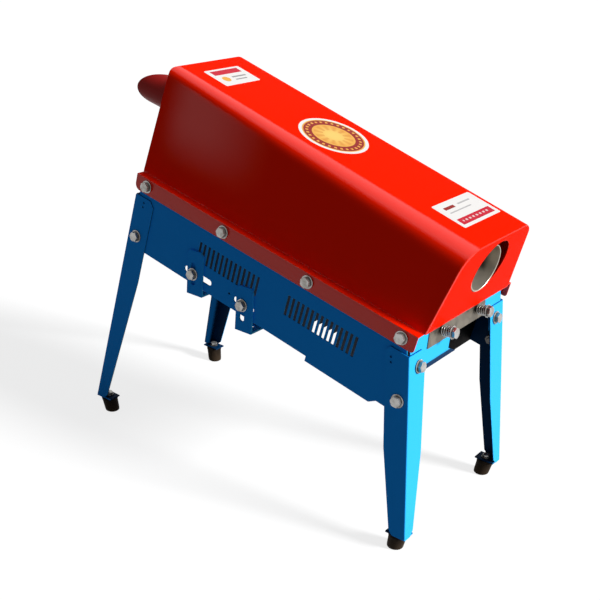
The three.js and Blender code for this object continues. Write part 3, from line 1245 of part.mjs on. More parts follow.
function buildSheller() {
  const machine = new THREE.Group();
  const frame = new THREE.Group();
  frame.rotation.y = TILT;
  frame.position.z = LEDGE_HEIGHT;
  machine.add(frame);
  frame.add(hood(), feedSpout(), outletTube(), earGuide());
  frame.add(sidePanel('front_panel', SIDES.front, true), sidePanel('rear_panel', SIDES.rear, false));
  frame.add(leftEndPlate(), rightEndPlate(), bearingBeam(), endCurtain(), pressurePlate());
  for (const [place, sign] of [['front', -1], ['rear', 1]]) {
    frame.add(springScrew(`spring_screw_${place}`, sign), spring(`spring_${place}`, sign));
  }
  for (const [place, side] of [['front', SIDES.front], ['rear', SIDES.rear]]) {
    flangeBoltX.forEach((x, i) => {
      const distance = PANEL_HALF_WIDTH + SEAT_GAP + HOOD_SHEET;
      const grip = HOOD_SHEET + SEAT_GAP + PANEL_SHEET;
      frame.add(sideBolt(`flange_bolt_${place}_${i + 1}`, side, x, -FLANGE_BOLT_DEPTH, distance, grip));
    });
    for (const [end, atOutlet] of [['left', false], ['right', true]]) {
      const tag = `${place}_${end}`;
      const outer = PANEL_HALF_WIDTH + SEAT_GAP + LEG_SHEET;
      const grip = LEG_SHEET + SEAT_GAP + PANEL_SHEET;
      const boltX = atOutlet ? LEG_SIDE_BOLT_OUTLET_X : LEG_SIDE_BOLT_FEED_X;
      const endSide = atOutlet ? SIDES.outlet : SIDES.feed;
      const endX = atOutlet ? LEG_OUTLET_X : LEG_FEED_X;
      const endY = side.out.y * LEG_END_BOLT_Y;
      frame.add(
        leg(`leg_${tag}`, atOutlet, side),
        sideBolt(`leg_side_bolt_${tag}`, side, boltX, -LEG_SIDE_BOLT_DEPTH, outer, grip),
        sideBolt(`leg_end_bolt_${tag}`, endSide, endY, -LEG_END_BOLT_DEPTH, endX, grip),
      );
      machine.add(foot(`foot_${tag}`, atOutlet, side), footBolt(`foot_bolt_${tag}`, atOutlet, side));
    }
  }
  for (const bracket of BRACKETS) {
    frame.add(motorBracket(`motor_bracket_${bracket.name}`, bracket));
    frame.add(bracketBolt(`bracket_bolt_${bracket.name}`, bracket));
  }
  frame.add(rotorShaft(), shellingDrum(), pulley(), pulleyNut(), concaveScreen());
  frame.add(bearing('bearing_left', 1, HOUSING_FEED_X), bearing('bearing_right', -1, housingOutletX));
  frame.add(bearingHousing('bearing_housing_left', 1, HOUSING_FEED_X));
  frame.add(bearingHousing('bearing_housing_right', -1, housingOutletX));
  return machine;
}

// The machine with its origin on the floor under the middle of its outline
const sheller = buildSheller();
sheller.updateMatrixWorld(true);
const extent = new THREE.Box3().setFromObject(sheller, true);
const middle = extent.getCenter(new THREE.Vector3());
sheller.position.set(-middle.x, -middle.y, 0);
sheller.updateMatrixWorld(true);

export default sheller;
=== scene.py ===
"""Household corn sheller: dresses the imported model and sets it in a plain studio."""

from __future__ import annotations

import json
import logging
import math
from collections.abc import Callable, Iterable, Iterator, Sequence
from contextlib import contextmanager
from dataclasses import dataclass
from enum import Enum

import bpy
from mathutils import Matrix, Vector

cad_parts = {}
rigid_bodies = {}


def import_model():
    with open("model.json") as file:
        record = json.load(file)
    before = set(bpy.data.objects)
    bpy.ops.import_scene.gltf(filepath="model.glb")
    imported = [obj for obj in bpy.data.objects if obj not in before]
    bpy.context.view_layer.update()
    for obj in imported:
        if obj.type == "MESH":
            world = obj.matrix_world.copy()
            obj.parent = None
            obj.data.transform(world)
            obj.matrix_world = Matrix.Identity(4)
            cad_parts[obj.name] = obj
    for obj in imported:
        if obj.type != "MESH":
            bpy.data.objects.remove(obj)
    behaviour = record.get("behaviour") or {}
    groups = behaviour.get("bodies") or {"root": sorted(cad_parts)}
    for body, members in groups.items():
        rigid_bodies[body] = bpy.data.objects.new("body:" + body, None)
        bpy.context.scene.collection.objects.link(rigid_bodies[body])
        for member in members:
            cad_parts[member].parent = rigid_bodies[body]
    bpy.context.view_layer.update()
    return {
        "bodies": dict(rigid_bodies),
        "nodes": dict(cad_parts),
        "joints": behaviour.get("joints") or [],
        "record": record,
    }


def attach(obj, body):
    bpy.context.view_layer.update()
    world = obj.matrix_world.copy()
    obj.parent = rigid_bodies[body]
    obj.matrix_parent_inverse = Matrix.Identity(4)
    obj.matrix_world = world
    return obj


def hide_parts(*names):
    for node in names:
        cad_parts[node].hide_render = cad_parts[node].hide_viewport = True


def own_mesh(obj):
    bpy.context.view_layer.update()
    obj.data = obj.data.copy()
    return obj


log = logging.getLogger("corn_sheller")

Piece = bpy.types.Object
Material = bpy.types.Material
Pair = tuple[float, float]
Triple = tuple[float, float, float]
Test = Callable[[object], bool]
Sockets = dict[int | str, object]  # values or links by the input's name or number

MM = 0.001  # a millimetre in metres
TILT = math.radians(12.14)  # how much the box slopes down to its outlet end
ORIGIN = (27.844, 3.382, 359.5)  # the box's frame: its middle at the ledge's height, in millimetres
BOX = Matrix.Translation([part * MM for part in ORIGIN]) @ Matrix.Rotation(TILT, 4, "Y")
SOFT = 0.3  # how far sheet edges are rounded, in millimetres
HAIR = 1e-5  # how close a point has to be to count as on a line, in metres


class Reach:
    """How far outer faces are from the box's middle at the ledge's height, in millimetres."""

    FLANGE = 121.4
    PANEL = 119.7
    HANGER = 123.0
    LEG_SIDE = 121.8
    LEG_FEED = 242.4
    LEG_OUTLET = 235.7
    END_PLATE = 233.6
    SPRUNG_PLATE = 235.4
    NOWHERE = 1000.0


class Side(Enum):
    """The four sides of the box: the level way that each faces, and how much it leans out."""

    FRONT = ((0.0, -1.0, 0.0), 0.045)
    REAR = ((0.0, 1.0, 0.0), 0.028)
    FEED = ((-1.0, 0.0, 0.0), 0.0295)
    OUTLET = ((1.0, 0.0, 0.0), 0.32)

    def __init__(self, out: Triple, lean: float) -> None:
        """Keeps the way out, its sign along its axis, and the lean.

        Args:
            out: the level way that the side faces.
            lean: how much it leans out, for each millimetre down.
        """
        self.out = Vector(out)
        self.sign = sum(out)
        self.lean = lean

    def place(self, along: float, height: float, distance: float) -> Matrix:
        """Finds a place on this side.

        Args:
            along: position along the side, in millimetres of the box's frame.
            height: height over the ledge, in millimetres, mostly negative.
            distance: how far the side's outer face is from the middle at the ledge.

        Returns:
            A matrix in the row frame whose Z points out of the side at that place.
        """
        level = Vector((1, 0, 0)) if self in (Side.FRONT, Side.REAR) else Vector((0, 1, 0))
        point = level * along + Vector((0, 0, height)) + self.out * (distance - self.lean * height)
        turn = Vector((0, 0, 1)).rotation_difference(self.out + Vector((0, 0, self.lean)))
        return BOX @ Matrix.Translation(point * MM) @ turn.to_matrix().to_4x4()

    def flange_spots(self) -> list[Matrix]:
        """Gives where the four bolts through this side's flange sit."""
        first, pitch, height = -225.0, 150.6, -11.8
        return [self.place(first + index * pitch, height, Reach.FLANGE) for index in range(4)]


def at(x: float, y: float, z: float) -> Matrix:
    """Moves a piece to a point given in millimetres."""
    return Matrix.Translation((x * MM, y * MM, z * MM))


def laid(x: float, y: float, z: float, sign: int = 1) -> Matrix:
    """Lays a piece made along Z from a point towards the outlet end, or with -1 the feed end."""
    return at(x, y, z) @ Matrix.Rotation(sign * math.pi / 2, 4, "Y")


def every(_: object) -> bool:
    """Lets every element pass."""
    return True


def mirrored(half: Sequence[Pair]) -> list[Pair]:
    """Closes an outline of radius and height with its own mirror image below."""
    return [*half, *((radius, -height) for radius, height in reversed(half))]


class Bench:
    """The tools that every piece is shaped with. Lengths are in millimetres."""

    @staticmethod
    def clear() -> None:
        """Leaves edit mode and deselects everything."""
        if bpy.context.object and bpy.context.object.mode != "OBJECT":
            bpy.ops.object.mode_set(mode="OBJECT")
        bpy.ops.object.select_all(action="DESELECT")

    @staticmethod
    def take(piece: Piece) -> None:
        """Makes the piece the only one selected.

        Args:
            piece: the piece to work on.
        """
        Bench.clear()
        piece.select_set(True)
        bpy.context.view_layer.objects.active = piece

    @staticmethod
    @contextmanager
    def opened(piece: Piece) -> Iterator[None]:
        """Opens a piece in edit mode with everything selected, and leaves it afterwards.

        Args:
            piece: the piece to work on.
        """
        Bench.take(piece)
        bpy.ops.object.mode_set(mode="EDIT")
        bpy.ops.mesh.select_all(action="SELECT")
        yield
        bpy.ops.object.mode_set(mode="OBJECT")

    @staticmethod
    @contextmanager
    def picked(piece: Piece, kind: str, test: Test) -> Iterator[int]:
        """Opens a piece in edit mode with chosen elements selected, and leaves it afterwards.

        Args:
            piece: the piece to work on.
            kind: VERT, EDGE or FACE.
            test: tells of a vertex, an edge or a face of the mesh whether it is chosen.

        Yields:
            How many elements are selected.
        """
        Bench.take(piece)
        bpy.ops.object.mode_set(mode="EDIT")
        bpy.ops.mesh.select_mode(type=kind)
        bpy.ops.mesh.select_all(action="DESELECT")
        bpy.ops.object.mode_set(mode="OBJECT")
        mesh = piece.data
        items = {"VERT": mesh.vertices, "EDGE": mesh.edges, "FACE": mesh.polygons}[kind]
        chosen = [item for item in items if test(item)]
        for item in chosen:
            item.select = True
        bpy.ops.object.mode_set(mode="EDIT")
        yield len(chosen)
        bpy.ops.object.mode_set(mode="OBJECT")

    @staticmethod
    def modify(piece: Piece, kind: str, **settings: object) -> Piece:
        """Adds a modifier and applies it.

        Args:
            piece: the piece to work on.
            kind: the modifier's type.
            settings: the modifier's settings by name.

        Returns:
            The piece.
        """
        Bench.take(piece)
        modifier = piece.modifiers.new(kind, kind)
        for name, value in settings.items():
            setattr(modifier, name, value)
        bpy.ops.object.modifier_apply(modifier=modifier.name)
        return piece

    @staticmethod
    def round_edges(piece: Piece, width: float, angle: float = 35) -> Piece:
        """Rounds a piece's edges.

        Args:
            piece: the piece to work on.
            width: how far they are rounded.
            angle: edges that turn by more than this many degrees are rounded.

        Returns:
            The piece.
        """
        return Bench.modify(
            piece, "BEVEL", width=width * MM, segments=2, limit_method="ANGLE",
            angle_limit=math.radians(angle), use_clamp_overlap=True,
        )

    @staticmethod
    def smooth(piece: Piece, angle: float = 30) -> Piece:
        """Shades a piece smooth and lets its wide faces stay flat.

        Args:
            piece: the piece to work on.
            angle: faces that meet at less than this many degrees are shaded as one.

        Returns:
            The piece.
        """
        Bench.take(piece)
        bpy.ops.object.shade_smooth_by_angle(angle=math.radians(angle))
        return Bench.modify(piece, "WEIGHTED_NORMAL", mode="FACE_AREA", weight=50, keep_sharp=True)

    @staticmethod
    def outward(piece: Piece) -> Piece:
        """Merges a piece's doubles and turns all its faces outwards.

        Args:
            piece: the piece to work on.

        Returns:
            The piece.
        """
        with Bench.opened(piece):
            bpy.ops.mesh.remove_doubles(threshold=1e-6)
            bpy.ops.mesh.normals_make_consistent(inside=False)
        return piece

    @staticmethod
    def named(name: str) -> Piece:
        """Names the newest primitive and puts its place in its mesh.

        Args:
            name: the piece's name.

        Returns:
            The piece.
        """
        piece = bpy.context.object
        piece.name = piece.data.name = name
        bpy.ops.object.transform_apply(location=True, rotation=True, scale=True)
        return piece

    @staticmethod
    def cylinder(name: str, radius: float, low: float, high: float, sides: int = 48) -> Piece:
        """Adds a cylinder along Z.

        Args:
            name: the piece's name.
            radius: the cylinder's radius.
            low: the height of its lower end.
            high: the height of its upper end.
            sides: how many flats go round it.

        Returns:
            The new piece.
        """
        Bench.clear()
        bpy.ops.mesh.primitive_cylinder_add(
            vertices=sides, radius=radius * MM, depth=(high - low) * MM,
            location=(0, 0, (high + low) / 2 * MM), end_fill_type="NGON",
        )
        return Bench.named(name)

    @staticmethod
    def cone(name: str, low_radius: float, high_radius: float, low: float, high: float) -> Piece:
        """Adds a cut-off cone along Z.

        Args:
            name: the piece's name.
            low_radius: its radius at its lower end.
            high_radius: its radius at its upper end.
            low: the height of its lower end.
            high: the height of its upper end.

        Returns:
            The new piece.
        """
        Bench.clear()
        bpy.ops.mesh.primitive_cone_add(
            vertices=48, radius1=low_radius * MM, radius2=high_radius * MM, depth=(high - low) * MM,
            location=(0, 0, (high + low) / 2 * MM), end_fill_type="NGON",
        )
        return Bench.named(name)

    @staticmethod
    def settle(piece: Piece, matrix: Matrix) -> Piece:
        """Moves a piece by a matrix and puts that place in its mesh.

        Args:
            piece: the piece to work on.
            matrix: where it goes.

        Returns:
            The piece.
        """
        Bench.take(piece)
        piece.matrix_world = matrix
        bpy.context.view_layer.update()
        bpy.ops.object.transform_apply(location=True, rotation=True, scale=True)
        return piece

    @staticmethod
    def joined(name: str, pieces: Sequence[Piece]) -> Piece:
        """Joins pieces into the first one and names it.

        Args:
            name: the joined piece's name.
            pieces: the pieces to join.

        Returns:
            The joined piece.
        """
        Bench.take(pieces[0])
        for piece in pieces[1:]:
            piece.select_set(True)
        bpy.ops.object.join()
        pieces[0].name = pieces[0].data.name = name
        return pieces[0]

    @staticmethod
    def boolean(piece: Piece, tool: Piece, operation: str = "DIFFERENCE") -> Piece:
        """Cuts a piece with a tool, which is then removed.

        Args:
            piece: the piece to work on.
            tool: the piece that cuts.
            operation: DIFFERENCE to take the tool away, INTERSECT to keep what it holds.

        Returns:
            The piece.
        """
        Bench.modify(piece, "BOOLEAN", object=tool, operation=operation, solver="EXACT")
        bpy.data.objects.remove(tool)
        return piece

    @staticmethod
    def copy(piece: Piece, name: str, matrix: Matrix) -> Piece:
        """Copies a piece with a mesh of its own.

        Args:
            piece: the piece to copy.
            name: the copy's name.
            matrix: where the copy goes.

        Returns:
            The copy.
        """
        twin = piece.copy()
        twin.data = piece.data.copy()
        twin.name = twin.data.name = name
        bpy.context.collection.objects.link(twin)
        return Bench.settle(twin, matrix)

    @staticmethod
    def lathe(name: str, points: Sequence[Pair], steps: int, closed: bool = True) -> Piece:
        """Spins an outline once round Z.

        Args:
            name: the piece's name.
            points: radius and height of each point of the outline.
            steps: how many flats make a turn.
            closed: whether the last point joins the first.

        Returns:
            The new piece.
        """
        mesh = bpy.data.meshes.new(name)
        edges = [(index, index + 1) for index in range(len(points) - 1)]
        if closed:
            edges.append((len(points) - 1, 0))
        mesh.from_pydata([(radius * MM, 0, height * MM) for radius, height in points], edges, [])
        piece = bpy.data.objects.new(name, mesh)
        bpy.context.collection.objects.link(piece)
        with Bench.picked(piece, "VERT", every):
            bpy.ops.mesh.spin(steps=steps, angle=2 * math.pi, center=(0, 0, 0), axis=(0, 0, 1))
        return Bench.outward(piece)

    @staticmethod
    def hexagon(name: str, flats: float, low: float, high: float, both: bool) -> Piece:
        """Makes a hexagon with turned chamfers.

        Args:
            name: the piece's name.
            flats: its width across the flats.
            low: the height of its lower end.
            high: the height of its upper end.
            both: whether both ends are chamfered, or only the upper one.

        Returns:
            The new piece.
        """
        piece = Bench.cylinder(name, flats / math.sqrt(3), low, high, 6)
        reach = flats * 0.475
        wide = reach + (high - low) * 1.9
        Bench.boolean(piece, Bench.cone("chamfer_cutter", wide, reach, low, high), "INTERSECT")
        if both:
            Bench.boolean(piece, Bench.cone("chamfer_cutter", reach, wide, low, high), "INTERSECT")
        return Bench.outward(piece)


def add_node(tree: bpy.types.NodeTree, kind: str, sockets: Sockets, **settings: object) -> bpy.types.Node:
    """Adds a shader node.

    Args:
        tree: the tree that it goes into.
        kind: the node's type.
        sockets: values or links by the input's name or number.
        settings: the node's own settings by name, which are set first.

    Returns:
        The node.
    """
    node = tree.nodes.new(kind)
    for name, value in settings.items():
        setattr(node, name, value)
    for key, value in sockets.items():
        slot = node.inputs[key]
        if isinstance(value, Link):
            tree.links.new(value.socket, slot)
        else:
            slot.default_value = (*value, 1) if slot.type == "RGBA" else value
    return node


def maths(operation: str, swapped: bool = False) -> Callable[..., Link]:
    """Makes the method of Link that stands for one operation of the Math node.

    Args:
        operation: the Math node's operation.
        swapped: whether the link's own value comes last, as in 1 - mask.

    Returns:
        The method.
    """

    def method(link: Link, *others: Link | float) -> Link:
        """Adds the Math node on these values and returns its result."""
        values = (*others, link) if swapped else (link, *others)
        node = add_node(link.tree, "ShaderNodeMath", dict(enumerate(values)), operation=operation)
        return Link(link.tree, node.outputs[0])

    return method


class Link:
    """A shader socket that Python expressions can be written with."""

    __add__, __radd__ = maths("ADD"), maths("ADD", True)
    __sub__, __rsub__ = maths("SUBTRACT"), maths("SUBTRACT", True)
    __mul__, __rmul__ = maths("MULTIPLY"), maths("MULTIPLY", True)
    __lt__, __gt__ = maths("LESS_THAN"), maths("GREATER_THAN")
    __pow__ = maths("POWER")
    __abs__ = maths("ABSOLUTE")
    most = maths("MAXIMUM")
    sine = maths("SINE")
    arctan = maths("ARCTAN2")

    def __init__(self, tree: bpy.types.NodeTree, socket: bpy.types.NodeSocket) -> None:
        """Wraps an output socket of a node in a tree."""
        self.tree = tree
        self.socket = socket

    def step(self, low: float, high: float) -> Link:
        """Goes smoothly from 0 at low to 1 at high.

        Args:
            low: the value from which it rises.
            high: the value at which it is 1.

        Returns:
            The new value.
        """
        sockets = {"Value": self, "From Min": low, "From Max": high}
        node = add_node(self.tree, "ShaderNodeMapRange", sockets, interpolation_type="SMOOTHSTEP")
        return Link(self.tree, node.outputs[0])


class Nodes:
    """The nodes of a material or of the world."""

    def __init__(self, owner: Material | bpy.types.World) -> None:
        """Empties the owner's node tree.

        Args:
            owner: the material or the world.
        """
        owner.use_nodes = True
        self.owner = owner
        self.tree = owner.node_tree
        self.tree.nodes.clear()

    def add(self, kind: str, sockets: Sockets, key: int | str = 0, **settings: object) -> Link:
        """Adds a node and gives one of its outputs.

        Args:
            kind: the node's type.
            sockets: values or links by the input's name or number.
            key: the output's name or number.
            settings: the node's own settings by name.

        Returns:
            The output.
        """
        return Link(self.tree, add_node(self.tree, kind, sockets, **settings).outputs[key])

    def split(self, vector: Link) -> list[Link]:
        """Gives a vector's X, Y and Z."""
        parts = add_node(self.tree, "ShaderNodeSeparateXYZ", {0: vector})
        return [Link(self.tree, socket) for socket in parts.outputs]


@dataclass(frozen=True)
class Grain:
    """A cloudy pattern: clouds to a metre, finer layers, their strength, and scale along X, Y and Z."""

    scale: float
    detail: float
    rough: float
    stretch: Triple | None = None


class Shader(Nodes):
    """One material and the patterns that it is built from."""

    def __init__(self, name: str) -> None:
        """Starts an empty material of this name.

        Args:
            name: the material's name.
        """
        super().__init__(bpy.data.materials.new(name))
        place = add_node(self.tree, "ShaderNodeTexCoord", {})
        self.object = Link(self.tree, place.outputs["Object"])
        self.facing = Link(self.tree, place.outputs["Normal"])

    def noise(self, grain: Grain) -> Link:
        """Gives a cloudy pattern from 0 to 1.

        Args:
            grain: the pattern's sizes.

        Returns:
            The pattern.
        """
        place = self.object
        if grain.stretch:
            place = self.add("ShaderNodeMapping", {"Vector": place, "Scale": grain.stretch})
        sizes = {"Scale": grain.scale, "Detail": grain.detail, "Roughness": grain.rough}
        return self.add("ShaderNodeTexNoise", {"Vector": place, **sizes})

    def box_place(self) -> list[Link]:
        """Gives the place in the box's frame: along, across and up, in metres."""
        sockets = {"Vector": self.object, "Location": BOX.to_translation(), "Rotation": (0, TILT, 0)}
        return self.split(self.add("ShaderNodeMapping", sockets, vector_type="TEXTURE"))

    def mix(self, factor: Link | float, first: Link | Triple, second: Link | Triple) -> Link:
        """Mixes two colours."""
        return self.add("ShaderNodeMix", {0: factor, 6: first, 7: second}, 2, data_type="RGBA")

    def bump(self, height: Link, distance: float) -> Link:
        """Turns a height from 0 to 1 into a normal, for a real relief in metres."""
        return self.add("ShaderNodeBump", {"Height": height, "Distance": distance, "Strength": 1})

    def surface(self, sockets: Sockets) -> Material:
        """Finishes the material with a Principled shader of these inputs and returns it."""
        shader = self.add("ShaderNodeBsdfPrincipled", sockets)
        add_node(self.tree, "ShaderNodeOutputMaterial", {0: shader})
        return self.owner


@dataclass(frozen=True)
class Finish:
    """A finish: its name, its main colour and a second colour: that of its worn, dusty or dull places,
    and in the bright tube that of its painted shade.
    """

    name: str
    colour: Triple
    other: Triple

    def make(self) -> Material:
        """Builds the material."""
        shader = Shader(self.name)
        return shader.surface(self.inputs(shader))

    def inputs(self, shader: Shader) -> Sockets:
        """Gives the Principled shader's inputs by name.

        Args:
            shader: the material's shader.

        Returns:
            Values or links by the input's name.
        """
        raise NotImplementedError


@dataclass(frozen=True)
class Enamel(Finish):
    """Sprayed enamel: an even colour with a faint orange peel, dust and rubbed patches.

    The faces that look out towards the outlet end, where the lamp shines from, take the lighter colour
    that ends gives, as painted light. Faces inside the box, whose outer sides shell gives, are darkened
    by thin, as painted shade.
    """

    rough: float
    specular: float
    # gloss: whether the clear coat's painted sheen is laid on
    gloss: bool = False
    # shell and thin: where the faces inside the box begin, and how much the painted shade darkens them
    shell: Triple | None = None
    # ends: the lighter colour painted on faces towards the outlet end, as painted light
    ends: Triple | None = None
    thin: float = 0.9
    peel: float = 0.05 * MM
    clouds: Grain = Grain(9, 4, 0.6)
    grit: Grain = Grain(260, 3, 0.7)
    streaks: Grain = Grain(40, 2, 0.5, (0.35, 1, 3))
    fine_peel: Grain = Grain(620, 2, 0.4)
    wide_peel: Grain = Grain(60, 2, 0.5)

    def inputs(self, shader: Shader) -> Sockets:
        """Gives the Principled shader's inputs by name."""
        cloud = shader.noise(self.clouds)
        worn = (cloud * 0.7 + shader.noise(self.streaks) * 0.3).step(0.52, 0.78) * 0.35
        specks = shader.noise(self.grit).step(0.7, 0.78) * 0.3
        colour = shader.mix(specks, shader.mix(worn, self.colour, self.other), self.other)
        # Painted light: faces that look towards the outlet end, where the lamp shines from, turn to the
        # ends colour.
        if self.ends:
            ahead = shader.split(shader.facing)[0]
            colour = shader.mix(ahead.step(0.5, 0.8) * (1 - worn), colour, self.ends)
        # Painted shade: faces inside the box are darkened by thin.
        if self.shell:
            shade = tuple(part * (1 - self.thin) for part in self.colour)
            colour = shader.mix(self.inside(shader), colour, shade)
        peel = shader.noise(self.fine_peel) * 0.6 + shader.noise(self.wide_peel) * 0.4
        return {
            "Base Color": colour,
            "Roughness": self.rough + (cloud - 0.5) * 0.16 + specks * 0.2,
            "Normal": shader.bump(peel, self.peel),
            "Specular IOR Level": self.specular,
            # Painted sheen: the clear coat lies only on bends, rims, the ledge and a patch of the wall.
            "Coat Weight": self.polish(shader) if self.gloss else 0.0,
            "Coat Roughness": 0.12,
        }

    def inside(self, shader: Shader) -> Link:
        """Gives 1 on faces that are turned into the box, which take the painted shade.

        Args:
            shader: the material's shader.

        Returns:
            The share, from 0 to 1.
        """
        side, feed, outlet = (value * MM for value in self.shell)
        near, far = 0.5 * MM, 1.2 * MM
        along, across, up = shader.box_place()
        lean = (across < 0) * (Side.FRONT.lean - Side.REAR.lean) + Side.REAR.lean
        deep = side - lean * up - abs(across)
        at_feed = (along < 0) * (feed - up * Side.FEED.lean + along)
        at_outlet = (along > 0) * (outlet - up * Side.OUTLET.lean - along)
        return deep.step(near, far) * (at_feed + at_outlet).step(near, far)

    def polish(self, shader: Shader) -> Link:
        """Gives the clear coat's share, a painted sheen: most on bends and rims, some on the ledge and
        part of the wall.

        Args:
            shader: the material's shader.

        Returns:
            The share, from 0 to 1.
        """
        ahead, across, _ = shader.split(shader.facing)
        level = across * -1
        band = level.step(0.02, 0.07) * (1 - level.step(0.55, 0.8))
        rim = ahead.step(0.38, 0.5) * (1 - ahead.step(0.86, 0.93))
        along, _, up = shader.box_place()
        reach = along.step(-0.25, -0.19) * (1 - along.step(-0.17, -0.03))
        patch = reach * up.step(0.02, 0.1) * level.step(0.9, 0.96) * 0.45
        ledge = (1 - up.step(0.0, 0.003)) * 0.5
        return band.most(rim).most(patch).most(ledge)


@dataclass(frozen=True)
class Plated(Finish):
    """Bare or plated metal: cloudy tint, fine scratches, dull patches, and painted shade where a bolt's
    attribute marks it.
    """

    rough: float
    scratch: float
    relief: float
    metallic: float
    # The colour of the painted shade in a bolt's crevices.
    dirt: Triple = (0.035, 0.032, 0.03)
    clouds: Grain = Grain(70, 3, 0.6)
    scratches: Grain = Grain(900, 3, 0.6, (1, 1, 0.15))

    def inputs(self, shader: Shader) -> Sockets:
        """Gives the Principled shader's inputs by name."""
        cloud = shader.noise(self.clouds)
        fine = shader.noise(self.scratches)
        tint = shader.mix(cloud.step(0.35, 0.75), self.colour, self.other)
        # Painted shade: the bolt darkens in its crevices and at the foot of its head.
        grime = shader.add("ShaderNodeAttribute", {}, "Fac", attribute_name="grime")
        return {
            "Base Color": shader.mix(grime * 0.9, tint, self.dirt),
            "Metallic": self.metallic,
            "Roughness": self.rough + (fine - 0.5) * self.scratch + (cloud - 0.5) * 0.2,
            "Normal": shader.bump(fine, self.relief),
        }


@dataclass(frozen=True)
class Bore(Finish):
    """A bright tube with painted shade deep inside, and less of it near its mouth and along its bottom
    and its top.
    """

    mouth: float
    clean: Pair = (21.0, 9.0)
    bottom: Pair = (44.0, 56.0)
    top: Pair = (78.0, 92.0)
    relief: float = 0.03 * MM
    clouds: Grain = Grain(60, 4, 0.6)
    scratches: Grain = Grain(500, 2, 0.5)

    def inputs(self, shader: Shader) -> Sockets:
        """Gives the Principled shader's inputs by name."""
        along, _, up = shader.box_place()
        cloud = shader.noise(self.clouds)
        # Painted shade: the tube darkens deep inside, away from its mouth, its bottom and its top.
        near = along.step((self.mouth - self.clean[0]) * MM, (self.mouth - self.clean[1]) * MM)
        low = 1 - up.step(self.bottom[0] * MM, self.bottom[1] * MM)
        high = up.step(self.top[0] * MM, self.top[1] * MM) * 0.6
        shade_share = 1 - near.most(low).most(high) * (0.75 + cloud * 0.5)
        return {
            "Base Color": shader.mix(shade_share, self.colour, self.other),
            "Metallic": 0.8,
            "Roughness": 0.3 + cloud * 0.2,
            "Normal": shader.bump(shader.noise(self.scratches), self.relief),
        }


@dataclass(frozen=True)
class Galvanised(Finish):
    """Hot-dipped sheet: crystals of zinc that shine unevenly, with a pale bloom."""

    crystals: float = 130
    relief: float = 0.03 * MM
    clouds: Grain = Grain(35, 4, 0.6)
    scratches: Grain = Grain(500, 2, 0.5)

    def inputs(self, shader: Shader) -> Sockets:
        """Gives the Principled shader's inputs by name."""
        sockets = {"Vector": shader.object, "Scale": self.crystals}
        crystal = shader.add("ShaderNodeTexVoronoi", sockets, "Color", feature="F1")
        level = shader.add("ShaderNodeSeparateColor", {0: crystal})
        cloud = shader.noise(self.clouds)
        base = shader.mix(level * 0.45, self.colour, self.other)
        return {
            "Base Color": shader.mix(cloud.step(0.5, 0.8) * 0.6, base, self.other),
            "Metallic": 1.0,
            "Roughness": 0.3 + level * 0.18 + cloud * 0.12,
            "Normal": shader.bump(shader.noise(self.scratches), self.relief),
        }


@dataclass(frozen=True)
class Cast(Finish):
    """Cast iron or rough steel: grainy, dark, with rust in cloudy patches."""

    metallic: float
    relief: float = 0.22 * MM
    grains: Grain = Grain(420, 5, 0.7)
    clouds: Grain = Grain(45, 4, 0.65)

    def inputs(self, shader: Shader) -> Sockets:
        """Gives the Principled shader's inputs by name."""
        grain = shader.noise(self.grains)
        rusty = shader.noise(self.clouds).step(0.52, 0.72) * 0.5
        return {
            "Base Color": shader.mix(rusty, self.colour, self.other),
            "Metallic": self.metallic - rusty * self.metallic,
            "Roughness": 0.48 + grain * 0.25,
            "Normal": shader.bump(grain, self.relief),
        }


@dataclass(frozen=True)
class Rubber(Finish):
    """Moulded rubber: nearly black, with fine grain and brownish dust that thins upwards."""

    dusty_height: float = 30 * MM
    relief: float = 0.06 * MM
    clouds: Grain = Grain(140, 4, 0.65)
    grains: Grain = Grain(1300, 2, 0.5)

    def inputs(self, shader: Shader) -> Sockets:
        """Gives the Principled shader's inputs by name."""
        cloud = shader.noise(self.clouds)
        low = 1 - shader.split(shader.object)[2].step(0.0, self.dusty_height)
        dusty = cloud.step(0.45, 0.7) * 0.03 + low * 0.1
        return {
            "Base Color": shader.mix(dusty, self.colour, self.other),
            "Roughness": 0.42 + cloud * 0.25,
            "Normal": shader.bump(shader.noise(self.grains), self.relief),
            "Specular IOR Level": 0.03,
        }


class LabelKind(Enum):
    """The three stickers on the cover."""

    SMALL = "small"
    ROUND = "round"
    WIDE = "wide"


